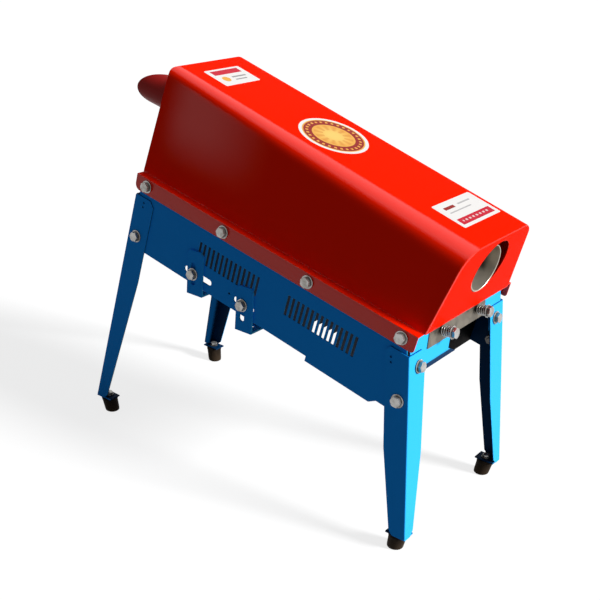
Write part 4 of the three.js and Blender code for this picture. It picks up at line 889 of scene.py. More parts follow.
@dataclass(frozen=True)
class Label:
    """A printed sticker with a plain design of bands, rings and rays.

    Its centre and size are in millimetres of the box's frame, along and across. The drawings measure
    along and across too, from -1 at one edge to 1 at the other.
    """

    kind: LabelKind
    centre: Pair
    size: Pair
    white: Triple = (0.86, 0.84, 0.82)
    crimson: Triple = (0.6, 0.006, 0.03)
    grey: Triple = (0.34, 0.33, 0.34)
    gold: Triple = (0.85, 0.42, 0.07)
    maroon: Triple = (0.3, 0.012, 0.01)
    amber: Triple = (0.93, 0.62, 0.16)
    brown: Triple = (0.7, 0.22, 0.03)
    relief: float = 0.04 * MM
    scuffs: Grain = Grain(90, 4, 0.7)

    @property
    def name(self) -> str:
        """The name of the sticker and of its finish."""
        return f"sticker_{self.kind.value}"

    def make(self) -> Material:
        """Builds the material."""
        shader = Shader(self.name)
        along, across, _ = shader.box_place()
        u = (along - self.centre[0] * MM) * (2 / (self.size[0] * MM))
        v = (across - self.centre[1] * MM) * (2 / (self.size[1] * MM))
        draw = {LabelKind.SMALL: self.small, LabelKind.ROUND: self.round, LabelKind.WIDE: self.wide}
        colour = draw[self.kind](shader, u, v)
        scuff = shader.noise(self.scuffs)
        return shader.surface({
            "Base Color": shader.mix(scuff.step(0.6, 0.85) * 0.12, colour, self.white),
            "Roughness": 0.3 + scuff * 0.15,
            "Normal": shader.bump(scuff, self.relief),
            "Specular IOR Level": 0.08,
        })

    def bar(self, u: Link, v: Link, low: Pair, high: Pair) -> Link:
        """Gives 1 inside a rectangle of the sticker between two corners."""
        return (u > low[0]) * (u < high[0]) * (v > low[1]) * (v < high[1])

    def small(self, shader: Shader, u: Link, v: Link) -> Link:
        """Draws a white field with a crimson band, a gold disc and two grey rules.

        Args:
            shader: the material's shader.
            u: the place along the sticker, from -1 to 1.
            v: the place across it, from -1 to 1.

        Returns:
            The colour.
        """
        band = self.bar(u, v, (-0.82, -0.78), (-0.3, 0.78))
        disc = ((u - 0.25) ** 2 + (v + 0.5) ** 2 * 2.4) < 0.09
        rules = self.bar(u, v, (0.05, -0.1), (0.2, 0.7)) + self.bar(u, v, (0.4, -0.1), (0.52, 0.55))
        colour = shader.mix(band, self.white, self.crimson)
        return shader.mix(rules, shader.mix(disc, colour, self.gold), self.grey)

    def wide(self, shader: Shader, u: Link, v: Link) -> Link:
        """Draws a white field with a band along one edge, small marks on it, a block and two rules.

        Args:
            shader: the material's shader.
            u: the place along the sticker, from -1 to 1.
            v: the place across it, from -1 to 1.

        Returns:
            The colour.
        """
        band = self.bar(u, v, (0.34, -0.86), (0.8, 0.86))
        line = self.bar(u, v, (0.5, -0.7), (0.62, 0.7))
        marks = line * (v * 34).sine().step(-0.4, 0.6) * 0.75
        block = self.bar(u, v, (-0.62, -0.72), (-0.42, -0.2))
        rules = self.bar(u, v, (-0.6, 0.0), (-0.5, 0.65)) + self.bar(u, v, (-0.2, -0.72), (-0.12, 0.4))
        colour = shader.mix(marks, shader.mix(band, self.white, self.crimson), self.white)
        return shader.mix(rules * 0.7, shader.mix(block, colour, self.maroon), self.grey)

    def round(self, shader: Shader, u: Link, v: Link) -> Link:
        """Draws a white rim, a maroon ring of gold dots and a gold middle with rays.

        Args:
            shader: the material's shader.
            u: the place along the sticker, from -1 to 1.
            v: the place across it, from -1 to 1.

        Returns:
            The colour.
        """
        radius = (u * u + v * v) ** 0.5
        angle = v.arctan(u)
        rays = (angle * 12).sine() * 0.5 + 0.5
        dots = ((angle * 28).sine() > 0.2) * (radius > 0.72) * (radius < 0.8)
        glow = shader.mix(radius.step(0.1, 0.7), self.amber, self.gold)
        middle = shader.mix(rays * (radius > 0.3) * (radius < 0.56) * 0.55, glow, self.brown)
        ring = shader.mix((radius > 0.62) * (radius < 0.9), middle, self.maroon)
        line = shader.mix((radius > 0.86) * (radius < 0.9), shader.mix(dots, ring, self.gold), self.gold)
        return shader.mix(radius > 0.9, line, self.white)


def finishes() -> dict[str, Material]:
    """Makes every finish of the machine but the stickers', by the name that the pieces ask for."""
    made = {
        # The red enamel carries the painted sheen of its clear coat.
        "red_paint": Enamel("red_enamel", (0.97, 0.014, 0.0008), (0.84, 0.012, 0.001), 0.3, 0.002, True),
        # The feed pipe's finish is a darker copy of the red enamel: painted shade, for the hood's shadow.
        "red_in_painted_shade": Enamel("pipe_enamel", (0.36, 0.010, 0.008), (0.26, 0.010, 0.008), 0.4, 0.1),
        # Near-black enamel for the bearing beam: black paint, and dark enough to stand for the shade
        # inside the outlet end, as painted shade.
        "black_paint": Enamel("black_enamel", (0.012, 0.012, 0.012), (0.03, 0.028, 0.026), 0.5, 0.3),
        "zinc": Plated("zinc_plate", (0.52, 0.515, 0.5), (0.25, 0.23, 0.2), 0.22, 0.2, 0.04 * MM, 0.65),
        "galvanised": Galvanised("galvanised_sheet", (0.17, 0.15, 0.12), (0.32, 0.285, 0.235)),
        "steel": Plated("plain_steel", (0.34, 0.34, 0.34), (0.22, 0.2, 0.18), 0.42, 0.24, 0.06 * MM, 1.0),
        "cast_iron": Cast("cast_iron", (0.11, 0.11, 0.115), (0.12, 0.055, 0.03), 0.85),
        "black_rubber": Rubber("black_rubber", (0.007, 0.0055, 0.0045), (0.36, 0.235, 0.14)),
        # The curtain's rubber is darker than the feet's, so that the outlet end's opening reads black:
        # black rubber and painted shade.
        "flap_rubber": Rubber("flap_rubber", (0.0012, 0.0012, 0.0014), (0.006, 0.005, 0.005)),
        # The bright tube's second colour is its painted shade deep inside.
        "tube_zinc": Bore("bright_tube", (0.62, 0.57, 0.48), (0.05, 0.045, 0.04), 255.1),
    }
    # shell: the outer faces inside which a blue enamel gets painted shade
    shells = {
        "blue_paint": None,
        "leg_paint": (Reach.LEG_SIDE, Reach.LEG_FEED, Reach.LEG_OUTLET),
        "panel_paint": (Reach.PANEL, Reach.NOWHERE, Reach.NOWHERE),
        "end_paint": (Reach.NOWHERE, Reach.NOWHERE, Reach.END_PLATE),
    }
    for slot, shell in shells.items():
        made[slot] = Enamel(
            f"{slot}_enamel", (0.008, 0.29, 0.93), (0.013, 0.28, 0.86), 0.36, 0.025,
            # ends: painted light, a lighter blue on faces towards the outlet end
            shell=shell, ends=(0.035, 0.5, 0.97),
        )
    return {name: finish.make() for name, finish in made.items()}


class Shop:
    """What all sub-assemblies share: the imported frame, the finishes and how a piece is handed over."""

    def __init__(self, frame: dict) -> None:
        """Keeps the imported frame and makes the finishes."""
        self.frame = frame
        self.finishes = finishes()

    def hand_over(
        self, piece: Piece, slot: str, body: str = "frame", nodes: Iterable[str] = (),
        finish: str | None = None,
    ) -> None:
        """Dresses a piece, lets it ride on its body and says which nodes it stands for.

        Args:
            piece: the finished piece.
            slot: the record's material slot.
            body: the body that it moves with.
            nodes: the CAD nodes that it replaces.
            finish: a finish of its own, where it isn't the slot's.
        """
        piece.data.materials.clear()
        piece.data.materials.append(self.finishes[finish or slot])
        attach(piece, body)
        if nodes:
            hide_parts(*nodes)
        log.info("%s rides on %s, %d faces", piece.name, body, len(piece.data.polygons))

    def merged(self, node: str) -> Piece:
        """Copies a CAD node and merges its loose triangles into flat faces.

        Args:
            node: the node to copy.

        Returns:
            The copy.
        """
        piece = bpy.data.objects.new(f"{node}_dressed", self.frame["nodes"][node].data.copy())
        piece.data.name = piece.name
        bpy.context.collection.objects.link(piece)
        Bench.take(piece)
        bpy.ops.mesh.customdata_custom_splitnormals_clear()
        with Bench.opened(piece):
            bpy.ops.mesh.remove_doubles(threshold=2e-6)
            bpy.ops.mesh.dissolve_limited(angle_limit=math.radians(0.4))
        return piece

    def softened(
        self, node: str, slot: str, body: str = "frame", finish: str | None = None,
        shape: Callable[[Piece], None] | None = None,
    ) -> None:
        """Stands a copy of a CAD node with rounded edges in for it.

        Args:
            node: the node to copy.
            slot: its material slot.
            body: the body that it moves with.
            finish: a finish of its own, where it isn't the slot's.
            shape: what is done to the copy before its edges are rounded.
        """
        piece = self.merged(node)
        if shape:
            shape(piece)
        Bench.round_edges(piece, SOFT)
        self.hand_over(Bench.smooth(piece), slot, body, [node], finish)


@dataclass
class Cover:
    """The red cover with its feed pipe, outlet tube, ear guide and stickers.

    Pairs are for the feed end and the outlet end. A hole, a tube or a pipe is its place across and over
    the ledge, and its radius, and then its wall.
    """

    half_length: float = 250.0
    sheet: float = 1.4
    base: float = 108.5
    flange: float = 23.4
    flange_corners: Pair = (9.0, 4.0)
    heights: Pair = (153.8, 113.8)
    front_top: Pair = (84.3, 92.2)
    rear_top: float = 75.0
    front_bend: Pair = (28.0, 45.0)
    front_profile: Pair = (0.78, 0.62)
    rear_bend: float = 23.0
    rear_profile: float = 0.5
    outlet_lean: float = 0.116
    end_round: float = 2.2
    cob_hole: Triple = (-2.0, 69.0, 38.0)
    tube: tuple[float, float, float, float] = (-4.2, 65.3, 33.0, 1.5)
    tube_length: float = 62.0
    tube_recess: float = 2.5
    foot_along: float = 210.5
    foot_low: float = 24.3
    foot_size: Pair = (12.0, 30.0)
    pipe: tuple[float, float, float, float] = (-4.0, 79.4, 26.6, 2.0)
    pipe_slack: float = 0.3
    pipe_inner: float = 8.0
    pipe_reach: float = 71.4
    mitre: Pair = (1.474, 0.139)
    bolt_hole: float = 4.4
    label_sheet: float = 0.15
    label_corner: float = 2.5
    labels: tuple[Label, ...] = (
        Label(LabelKind.SMALL, (-199.5, -8.0), (47.0, 72.0)),
        Label(LabelKind.ROUND, (-11.5, -5.0), (99.0, 98.0)),
        Label(LabelKind.WIDE, (198.5, 9.7), (52.5, 92.5)),
    )

    def ring(self, at_outlet: bool) -> Piece:
        """Draws the cover's section at one end: a plane whose two top corners are rounded.

        Args:
            at_outlet: whether it is the outlet end's section.

        Returns:
            The section.
        """
        end = int(at_outlet)
        height, front = self.heights[end], self.front_top[end]
        Bench.clear()
        bpy.ops.mesh.primitive_plane_add(size=0.1, rotation=(0, math.pi / 2, 0))
        piece = Bench.named(f"cover_section_{end}")
        corners = [(-self.base, 0.0), (-front, height), (self.base, 0.0), (self.rear_top, height)]
        order = sorted(piece.data.vertices, key=lambda p: (p.co.y, p.co.z))
        for vertex, (y, z) in zip(order, corners):
            x = self.half_length + self.outlet_lean * z if at_outlet else -self.half_length
            vertex.co = (x * MM, y * MM, z * MM)
        bends = (
            (-1, front, self.front_bend[end], self.front_profile[end]),
            (1, self.rear_top, self.rear_bend, self.rear_profile),
        )
        for sign, top, radius, profile in bends:
            corner = math.pi / 2 + math.atan2(self.base - top, height)
            reach = radius / math.tan(corner / 2)
            y, z = sign * top * MM, height * MM
            with Bench.picked(piece, "VERT", lambda p: abs(p.co.y - y) < HAIR and abs(p.co.z - z) < HAIR):
                bpy.ops.mesh.bevel(offset=reach * MM, segments=16, affect="VERTICES", profile=profile)
        return piece

    def skin(self) -> Piece:
        """Bridges the two end sections, draws out the flanges and gives the sheet its thickness."""
        piece = Bench.joined("cover", [self.ring(False), self.ring(True)])
        with Bench.picked(piece, "EDGE", every):
            bpy.ops.mesh.bridge_edge_loops()
        Bench.outward(piece)
        with Bench.picked(piece, "FACE", lambda face: face.normal.z < -0.9):
            bpy.ops.mesh.delete(type="FACE")
        self.round_ends(piece)
        for side in (Side.FRONT, Side.REAR):
            self.draw_flange(piece, side)
        return Bench.modify(piece, "SOLIDIFY", thickness=self.sheet * MM, offset=-1, use_even_offset=True)

    def round_ends(self, piece: Piece) -> None:
        """Rounds the edges where the two end faces meet the cover's top and long walls.

        Args:
            piece: the cover.
        """
        ends = {key for face in piece.data.polygons if abs(face.normal.x) > 0.9 for key in face.edge_keys}
        points = piece.data.vertices

        def on_rim(edge: bpy.types.MeshEdge) -> bool:
            """Tells whether an edge runs round an end face, above the ledge."""
            return edge.key in ends and max(points[index].co.z for index in edge.vertices) > HAIR

        with Bench.picked(piece, "EDGE", on_rim):
            bpy.ops.mesh.bevel(offset=self.end_round * MM, segments=3, affect="EDGES", clamp_overlap=True)

    def draw_flange(self, piece: Piece, side: Side) -> None:
        """Draws the ledge out from a long wall, turns the flange down from it and rounds its corners.

        Args:
            piece: the cover.
            side: the side that the wall is on.
        """
        points = piece.data.vertices
        wall = side.sign * self.base * MM

        def on_wall(edge: bpy.types.MeshEdge) -> bool:
            """Tells whether an edge is the wall's long lower edge."""
            ends = [points[index].co for index in edge.vertices]
            low = all(abs(end.z) < HAIR and abs(end.y - wall) < 10 * HAIR for end in ends)
            return low and abs(ends[0].x - ends[1].x) > self.half_length * MM

        out = (0, side.sign * (Reach.FLANGE - self.base) * MM, 0)
        down = (0, side.sign * side.lean * self.flange * MM, -self.flange * MM)
        with Bench.picked(piece, "EDGE", on_wall):
            for move in (out, down):
                bpy.ops.mesh.extrude_region_move(TRANSFORM_OT_translate={"value": move})

        def on_corner(vertex: bpy.types.MeshVertex) -> bool:
            """Tells whether a vertex is the flange's lower corner at the end in hand."""
            x, y, z = vertex.co
            return z < -0.5 * self.flange * MM and x * end > 0 and y * side.sign > 0

        for end, size in zip((-1, 1), self.flange_corners):
            with Bench.picked(piece, "VERT", on_corner):
                bpy.ops.mesh.bevel(offset=size * MM, segments=5, affect="VERTICES")

    def shell(self) -> Piece:
        """Makes the whole cover with its holes and soft edges."""
        piece = self.skin()
        y, z, radius, _ = self.pipe
        for (cy, cz, r), sign in ((self.cob_hole, 1), ((y, z, radius + self.pipe_slack), -1)):
            tool = Bench.cylinder("hole_cutter", r, -14, 14, 72)
            Bench.boolean(piece, Bench.settle(tool, laid(sign * (self.half_length + 6), cy, cz)))
        for spot in Side.FRONT.flange_spots() + Side.REAR.flange_spots():
            tool = Bench.cylinder("bolt_cutter", self.bolt_hole, -6, 6, 20)
            Bench.boolean(piece, Bench.settle(tool, BOX.inverted() @ spot))
        Bench.round_edges(piece, 0.35, 50)
        return Bench.smooth(Bench.settle(piece, BOX), 28)

    def rim_tube(self, name: str, radius: float, wall: float, length: float) -> Piece:
        """Spins a thin tube with rounded rims along Z, from 0 to its length.

        Args:
            name: the piece's name.
            radius: its outer radius.
            wall: how thick its wall is.
            length: its length.

        Returns:
            The new piece.
        """
        inner, soft = radius - wall, wall / 3
        points = [
            (inner + soft, 0), (radius - soft, 0), (radius, soft), (radius, length - soft),
            (radius - soft, length), (inner + soft, length), (inner, length - soft), (inner, soft),
        ]
        return Bench.lathe(name, points, 80)

    def spout(self) -> Piece:
        """Makes the feed pipe, whose mouth is cut at a slant so that it opens to the rear."""
        y, z, radius, wall = self.pipe
        piece = self.rim_tube("feed_pipe", radius, wall, self.pipe_inner + self.pipe_reach)
        Bench.settle(piece, laid(self.pipe_inner - self.half_length, y, z, -1))
        across, up = self.mitre
        for vertex in piece.data.vertices:
            if vertex.co.x < -(self.half_length + self.pipe_reach / 2) * MM:
                vertex.co.x += across * (vertex.co.y - y * MM) + up * (vertex.co.z - z * MM)
        return Bench.smooth(Bench.settle(piece, BOX), 40)

    def bead(self) -> Piece:
        """Spins the weld bead that closes the pipe against the cover's wall."""
        y, z, radius, _ = self.pipe
        points = [(radius + 0.05, 0), (radius + 2.2, 0), (radius + 1.5, 1.3), (radius + 0.05, 2.2)]
        piece = Bench.lathe("feed_pipe_bead", points, 72)
        return Bench.smooth(Bench.settle(piece, BOX @ laid(-self.half_length - 0.02, y, z, -1)), 60)

    def outlet(self) -> Piece:
        """Makes the bright tube in the cob hole and the foot that carries it."""
        y, z, radius, wall = self.tube
        inner = self.half_length + self.outlet_lean * z - self.tube_recess - self.tube_length
        piece = Bench.settle(self.rim_tube("cob_tube", radius, wall, self.tube_length), laid(inner, y, z))
        x, low, (length, width) = self.foot_along, self.foot_low, self.foot_size
        Bench.clear()
        bpy.ops.mesh.primitive_cube_add(
            size=1, location=(x * MM, y * MM, (low + z) / 2 * MM),
            scale=(length * MM, width * MM, (z - low) * MM),
        )
        foot = Bench.named("cob_tube_foot")
        bore = Bench.cylinder("bore_cutter", radius - wall / 2, -20, 20, 80)
        Bench.boolean(foot, Bench.settle(bore, laid(x, y, z)))
        Bench.round_edges(foot, 0.4, 50)
        return Bench.smooth(Bench.settle(Bench.joined("cob_tube", [piece, foot]), BOX), 40)

    def sticker(self, label: Label) -> Piece:
        """Lays a thin sticker on the sloping top, with rounded corners where it isn't round.

        Args:
            label: the sticker's print.

        Returns:
            The sticker.
        """
        Bench.clear()
        if label.kind is LabelKind.ROUND:
            bpy.ops.mesh.primitive_circle_add(vertices=96, radius=0.5, fill_type="NGON")
        else:
            bpy.ops.mesh.primitive_plane_add(size=1)
        width, depth = label.size
        piece = Bench.settle(Bench.named(label.name), Matrix.Diagonal((width * MM, depth * MM, 1, 1)))
        if label.kind is not LabelKind.ROUND:
            with Bench.picked(piece, "VERT", every):
                bpy.ops.mesh.bevel(offset=self.label_corner * MM, segments=6, affect="VERTICES")
        run = 2 * self.half_length + self.outlet_lean * self.heights[1]
        slope = (self.heights[0] - self.heights[1]) / run
        x, y = label.centre
        height = self.heights[0] - slope * (x + self.half_length) + 0.2 * self.label_sheet
        Bench.modify(piece, "SOLIDIFY", thickness=self.label_sheet * MM, offset=1)
        Bench.settle(piece, BOX @ at(x, y, height) @ Matrix.Rotation(math.atan(slope), 4, "Y"))
        return Bench.outward(piece)

    def build(self, shop: Shop) -> None:
        """Makes and hands over every piece of the cover.

        Args:
            shop: what hands the pieces over.
        """
        shop.hand_over(self.shell(), "red_paint", nodes=["hood"])
        # The feed pipe takes the darker red, as painted shade.
        shop.hand_over(self.spout(), "red_paint", nodes=["feed_spout"], finish="red_in_painted_shade")
        shop.hand_over(self.bead(), "red_paint")
        shop.hand_over(self.outlet(), "galvanised", nodes=["outlet_tube"], finish="tube_zinc")
        shop.softened("ear_guide", "galvanised")
        for label in self.labels:
            shop.finishes[label.name] = label.make()
            shop.hand_over(self.sticker(label), "red_paint", finish=label.name)


@dataclass
class Box:
    """The louvred side panels, the end walls, the beam, the flap, the screen and the hangers."""

    sheets: tuple[tuple[str, str, str], ...] = (
        ("left_end_plate", "blue_paint", "frame"),
        ("motor_bracket_left", "blue_paint", "hanger_left"),
        ("motor_bracket_right", "blue_paint", "hanger_right"),
        ("pressure_plate", "galvanised", "sprung_plate"),
        # The bearing beam's near-black enamel is partly painted shade for the inside of the outlet end.
        ("bearing_beam", "black_paint", "frame"),
        ("end_curtain", "black_rubber", "frame"),
        ("concave_screen", "steel", "frame"),
        ("bearing_housing_left", "cast_iron", "frame"),
        ("bearing_housing_right", "cast_iron", "frame"),
    )
    sheet: float = 1.6
    blades_along: Pair = (-115.0, 172.0)
    blades_up: Pair = (-79.5, -43.0)
    blade_depth: float = 6.6
    blade_spare: float = 2.6
    opening_rear: float = 84.0
    opening_front: float = -30.0
    opening_top: float = -36.5
    opening_spare: float = 1.8

    def deepen_louvres(self, piece: Piece, side: Side) -> None:
        """Makes the blades behind a panel's louvres a little deeper and longer.

        Args:
            piece: the panel.
            side: the side that it is on.
        """
        back, turn = BOX.inverted(), BOX.to_3x3()
        left, right = self.blades_along
        low, high = self.blades_up
        for vertex in piece.data.vertices:
            x, y, z = (back @ vertex.co) / MM
            deep = Reach.PANEL - side.lean * z - side.sign * y
            if deep > self.sheet + 0.2 and left < x < right and low < z < high:
                inward = self.blade_spare if deep > self.blade_depth - 0.5 else 0.0
                down = self.blade_spare if z < low + self.blade_spare else 0.0
                vertex.co += turn @ Vector((0, -side.sign * inward, -down)) * MM

    def widen_opening(self, piece: Piece) -> None:
        """Tucks the edges of the outlet end's opening behind the sprung plate and the leg.

        Args:
            piece: the end plate.
        """
        back, turn = BOX.inverted(), BOX.to_3x3()
        spare, rear, top = self.opening_spare, self.opening_rear, self.opening_top
        for vertex in piece.data.vertices:
            _, y, z = (back @ vertex.co) / MM
            if abs(z - top) < 0.8 and self.opening_front < y < rear + 1:
                vertex.co += turn @ Vector((-Side.OUTLET.lean * spare, 0, spare)) * MM
            if abs(y - rear) < 0.5 and z < top + 1:
                vertex.co += turn @ Vector((0, spare, 0)) * MM

    def build(self, shop: Shop) -> None:
        """Stands a soft-edged copy in for each sheet.

        Args:
            shop: what hands the pieces over.
        """
        shop.softened("right_end_plate", "blue_paint", finish="end_paint", shape=self.widen_opening)
        for node, side in (("front_panel", Side.FRONT), ("rear_panel", Side.REAR)):
            shop.softened(
                node, "blue_paint", finish="panel_paint",
                shape=lambda piece, side=side: self.deepen_louvres(piece, side),
            )
        for node, slot, body in self.sheets:
            # The end curtain takes the near-black rubber, which is partly painted shade.
            shop.softened(node, slot, body, "flap_rubber" if node == "end_curtain" else None)


@dataclass
class Leg:
    """One folded sheet leg with its rubber foot."""

    place: str
    at_outlet: bool
    side: Side
    toe_height: float = 24.0
    fold: float = 1.7
    small_hole: float = 1.8
    holes_feed: tuple[Pair, ...] = ((-225.2, -37.5), (-225.8, -44.2))
    holes_outlet: tuple[Pair, ...] = ((221.5, -42.5), (223.8, -49.3))
    foot_height: float = 23.7
    foot_inward: Pair = (17.0, 11.5)
    foot_splay: Pair = (4.5, 2.0)

    @property
    def end(self) -> Side:
        """The end of the box that the leg stands at."""
        return Side.OUTLET if self.at_outlet else Side.FEED

    @property
    def reach(self) -> float:
        """How far the leg's end face is from the middle at the ledge."""
        return Reach.LEG_OUTLET if self.at_outlet else Reach.LEG_FEED

    def corner(self, z: float) -> Vector:
        """Gives the leg's outer corner at a height of the box's frame, in millimetres."""
        x = self.end.sign * (self.reach - self.end.lean * z)
        return Vector((x, self.side.sign * (Reach.LEG_SIDE - self.side.lean * z), z))

    def toe(self) -> Vector:
        """Gives the leg's outer corner at its bottom edge, in millimetres of the row frame."""
        drop = self.end.sign * self.reach * math.sin(TILT) + self.toe_height - ORIGIN[2]
        z = drop / (math.cos(TILT) + self.end.sign * self.end.lean * math.sin(TILT))
        return (BOX @ (self.corner(z) * MM)) / MM

    def on_corner(self, point: Vector) -> bool:
        """Tells whether a point of the row frame lies on the leg's outer fold.

        Args:
            point: the point, in metres.

        Returns:
            Whether it does.
        """
        place = (BOX.inverted() @ point) / MM
        away = place - self.corner(place.z)
        return abs(away.x) < 0.05 and abs(away.y) < 0.05

    def finish_sheet(self, piece: Piece) -> None:
        """Drills two small holes in the folded leg and rounds its fold.

        Args:
            piece: the leg.
        """
        for x, z in self.holes_outlet if self.at_outlet else self.holes_feed:
            tool = Bench.cylinder("small_cutter", self.small_hole, -5, 5, 20)
            Bench.boolean(piece, Bench.settle(tool, self.side.place(x, z, Reach.LEG_SIDE)))
        points = piece.data.vertices

        def on_fold(edge: bpy.types.MeshEdge) -> bool:
            """Tells whether an edge runs along the leg's outer fold."""
            return all(self.on_corner(points[index].co) for index in edge.vertices)

        with Bench.picked(piece, "EDGE", on_fold) as count:
            if count:
                bpy.ops.mesh.bevel(offset=self.fold * MM, segments=5, affect="EDGES", clamp_overlap=True)

    def foot_centre(self) -> Vector:
        """Gives the middle of the foot's top, in millimetres of the row frame."""
        toe = self.toe()
        along, across = self.foot_inward
        return Vector((toe.x - self.end.sign * along, toe.y - self.side.sign * across, self.toe_height))

    def foot(self) -> Piece:
        """Spins the tapered foot with a lip and grooves, and leans it in under the leg."""
        high = self.foot_height
        points = [
            (0, 0.8), (7, 0.8), (8, 0), (10.2, 0), (11.0, 0.7), (11.25, 2.2), (11.45, 5.0),
            (12.1, high - 5.2), (12.3, high - 4.6), (12.6, high - 4.2), (12.6, high - 0.8),
            (12.0, high), (0, high),
        ]
        piece = Bench.lathe("foot", points, 56, closed=False)
        centre = self.foot_centre()
        along, across = self.end.sign * self.foot_splay[0], self.side.sign * self.foot_splay[1]
        lean = Matrix.Identity(4)
        lean[0][2], lean[1][2] = along / high, across / high
        lean[0][3], lean[1][3] = (centre.x - along) * MM, (centre.y - across) * MM
        piece.data.transform(lean)
        piece.name = f"rubber_foot_{self.place}"
        return Bench.smooth(piece, 40)

    def build(self, shop: Shop) -> None:
        """Makes and hands over the leg and its foot."""
        shop.softened(f"leg_{self.place}", "blue_paint", finish="leg_paint", shape=self.finish_sheet)
        shop.hand_over(self.foot(), "black_rubber", nodes=[f"foot_{self.place}"])


@dataclass(frozen=True)
class Bolt:
    """A bolt with its washer and nut, made along Z on a sheet whose outer face is at 0.

    The edges are how far the washer's lower and upper outer edges are rounded. The grip reaches from
    the face down to the nut, and a bolt whose nut is 0 high has none.
    """

    name: str = "m8_bolt"
    grip: float = 3.3
    stand: float = 0.3
    radius: float = 4.0
    flats: float = 13.0
    head: float = 5.3
    bore: float = 4.3
    washer: float = 9.2
    washer_sheet: float = 1.6
    washer_edges: Pair = (0.5, 0.4)
    washer_steps: int = 48
    nut: float = 6.5
    nut_gap: float = 0.3
    end: float = 2.0
    sunk: float = 0.5
    # Beyond this radius the washer's top takes almost no painted shade.
    clean_from: float = 8.45
    pitch: float = 1.25
    threaded: float = 12.0

    def shank(self, low: float, high: float) -> Piece:
        """Spins a shank whose last part is ribbed like a thread.

        Args:
            low: the height of its lower end.
            high: the height of its upper end.

        Returns:
            The new piece.
        """
        z = low + self.radius * 0.2
        points: list[Pair] = [(0, low), (self.radius * 0.8, low), (self.radius, z)]
        while z + self.pitch < min(high, low + self.threaded):
            points += [(self.radius * 0.87, z + 0.6), (self.radius, z + 1.2)]
            z += self.pitch
        points += [(self.radius, high), (0, high)]
        return Bench.lathe("shank", points, 24, closed=False)

    def soil(self, bolt: Piece, top: float) -> None:
        """Marks painted shade: under the washer and below it, on the washer's inner ring, and where the
        head stands on it.

        Args:
            bolt: the bolt.
            top: the height of the washer's upper face.
        """
        grime = bolt.data.attributes.new("grime", "FLOAT", "POINT")
        for vertex, item in zip(bolt.data.vertices, grime.data):
            z = vertex.co.z / MM
            if z < self.stand + 0.7:
                item.value = 1.0
            elif z < top + 0.1:
                radius = math.hypot(vertex.co.x, vertex.co.y) / MM
                item.value = 0.1 if radius > self.clean_from else 0.9
            else:
                item.value = 0.75 if z < top + 0.2 * self.head else 0.0

    def make(self) -> Piece:
        """Makes the bolt and returns it."""
        low, top, washer = self.stand, self.stand + self.washer_sheet, self.washer
        under, over = self.washer_edges
        outline = [
            (self.bore, low), (washer - under, low), (washer, low + under), (washer, top - over),
            (washer - over, top), (self.bore, top),
        ]
        ring = Bench.lathe("washer", outline, self.washer_steps)
        pieces = [ring, Bench.hexagon("bolt_head", self.flats, top, top + self.head, False)]
        face = -self.grip - self.nut_gap
        if self.nut:
            pieces.append(Bench.hexagon("nut", self.flats, face - self.nut, face, True))
        pieces.append(self.shank(face - self.nut - self.end, top + self.sunk))
        bolt = Bench.joined(self.name, pieces)
        self.soil(bolt, top)
        return Bench.smooth(bolt)


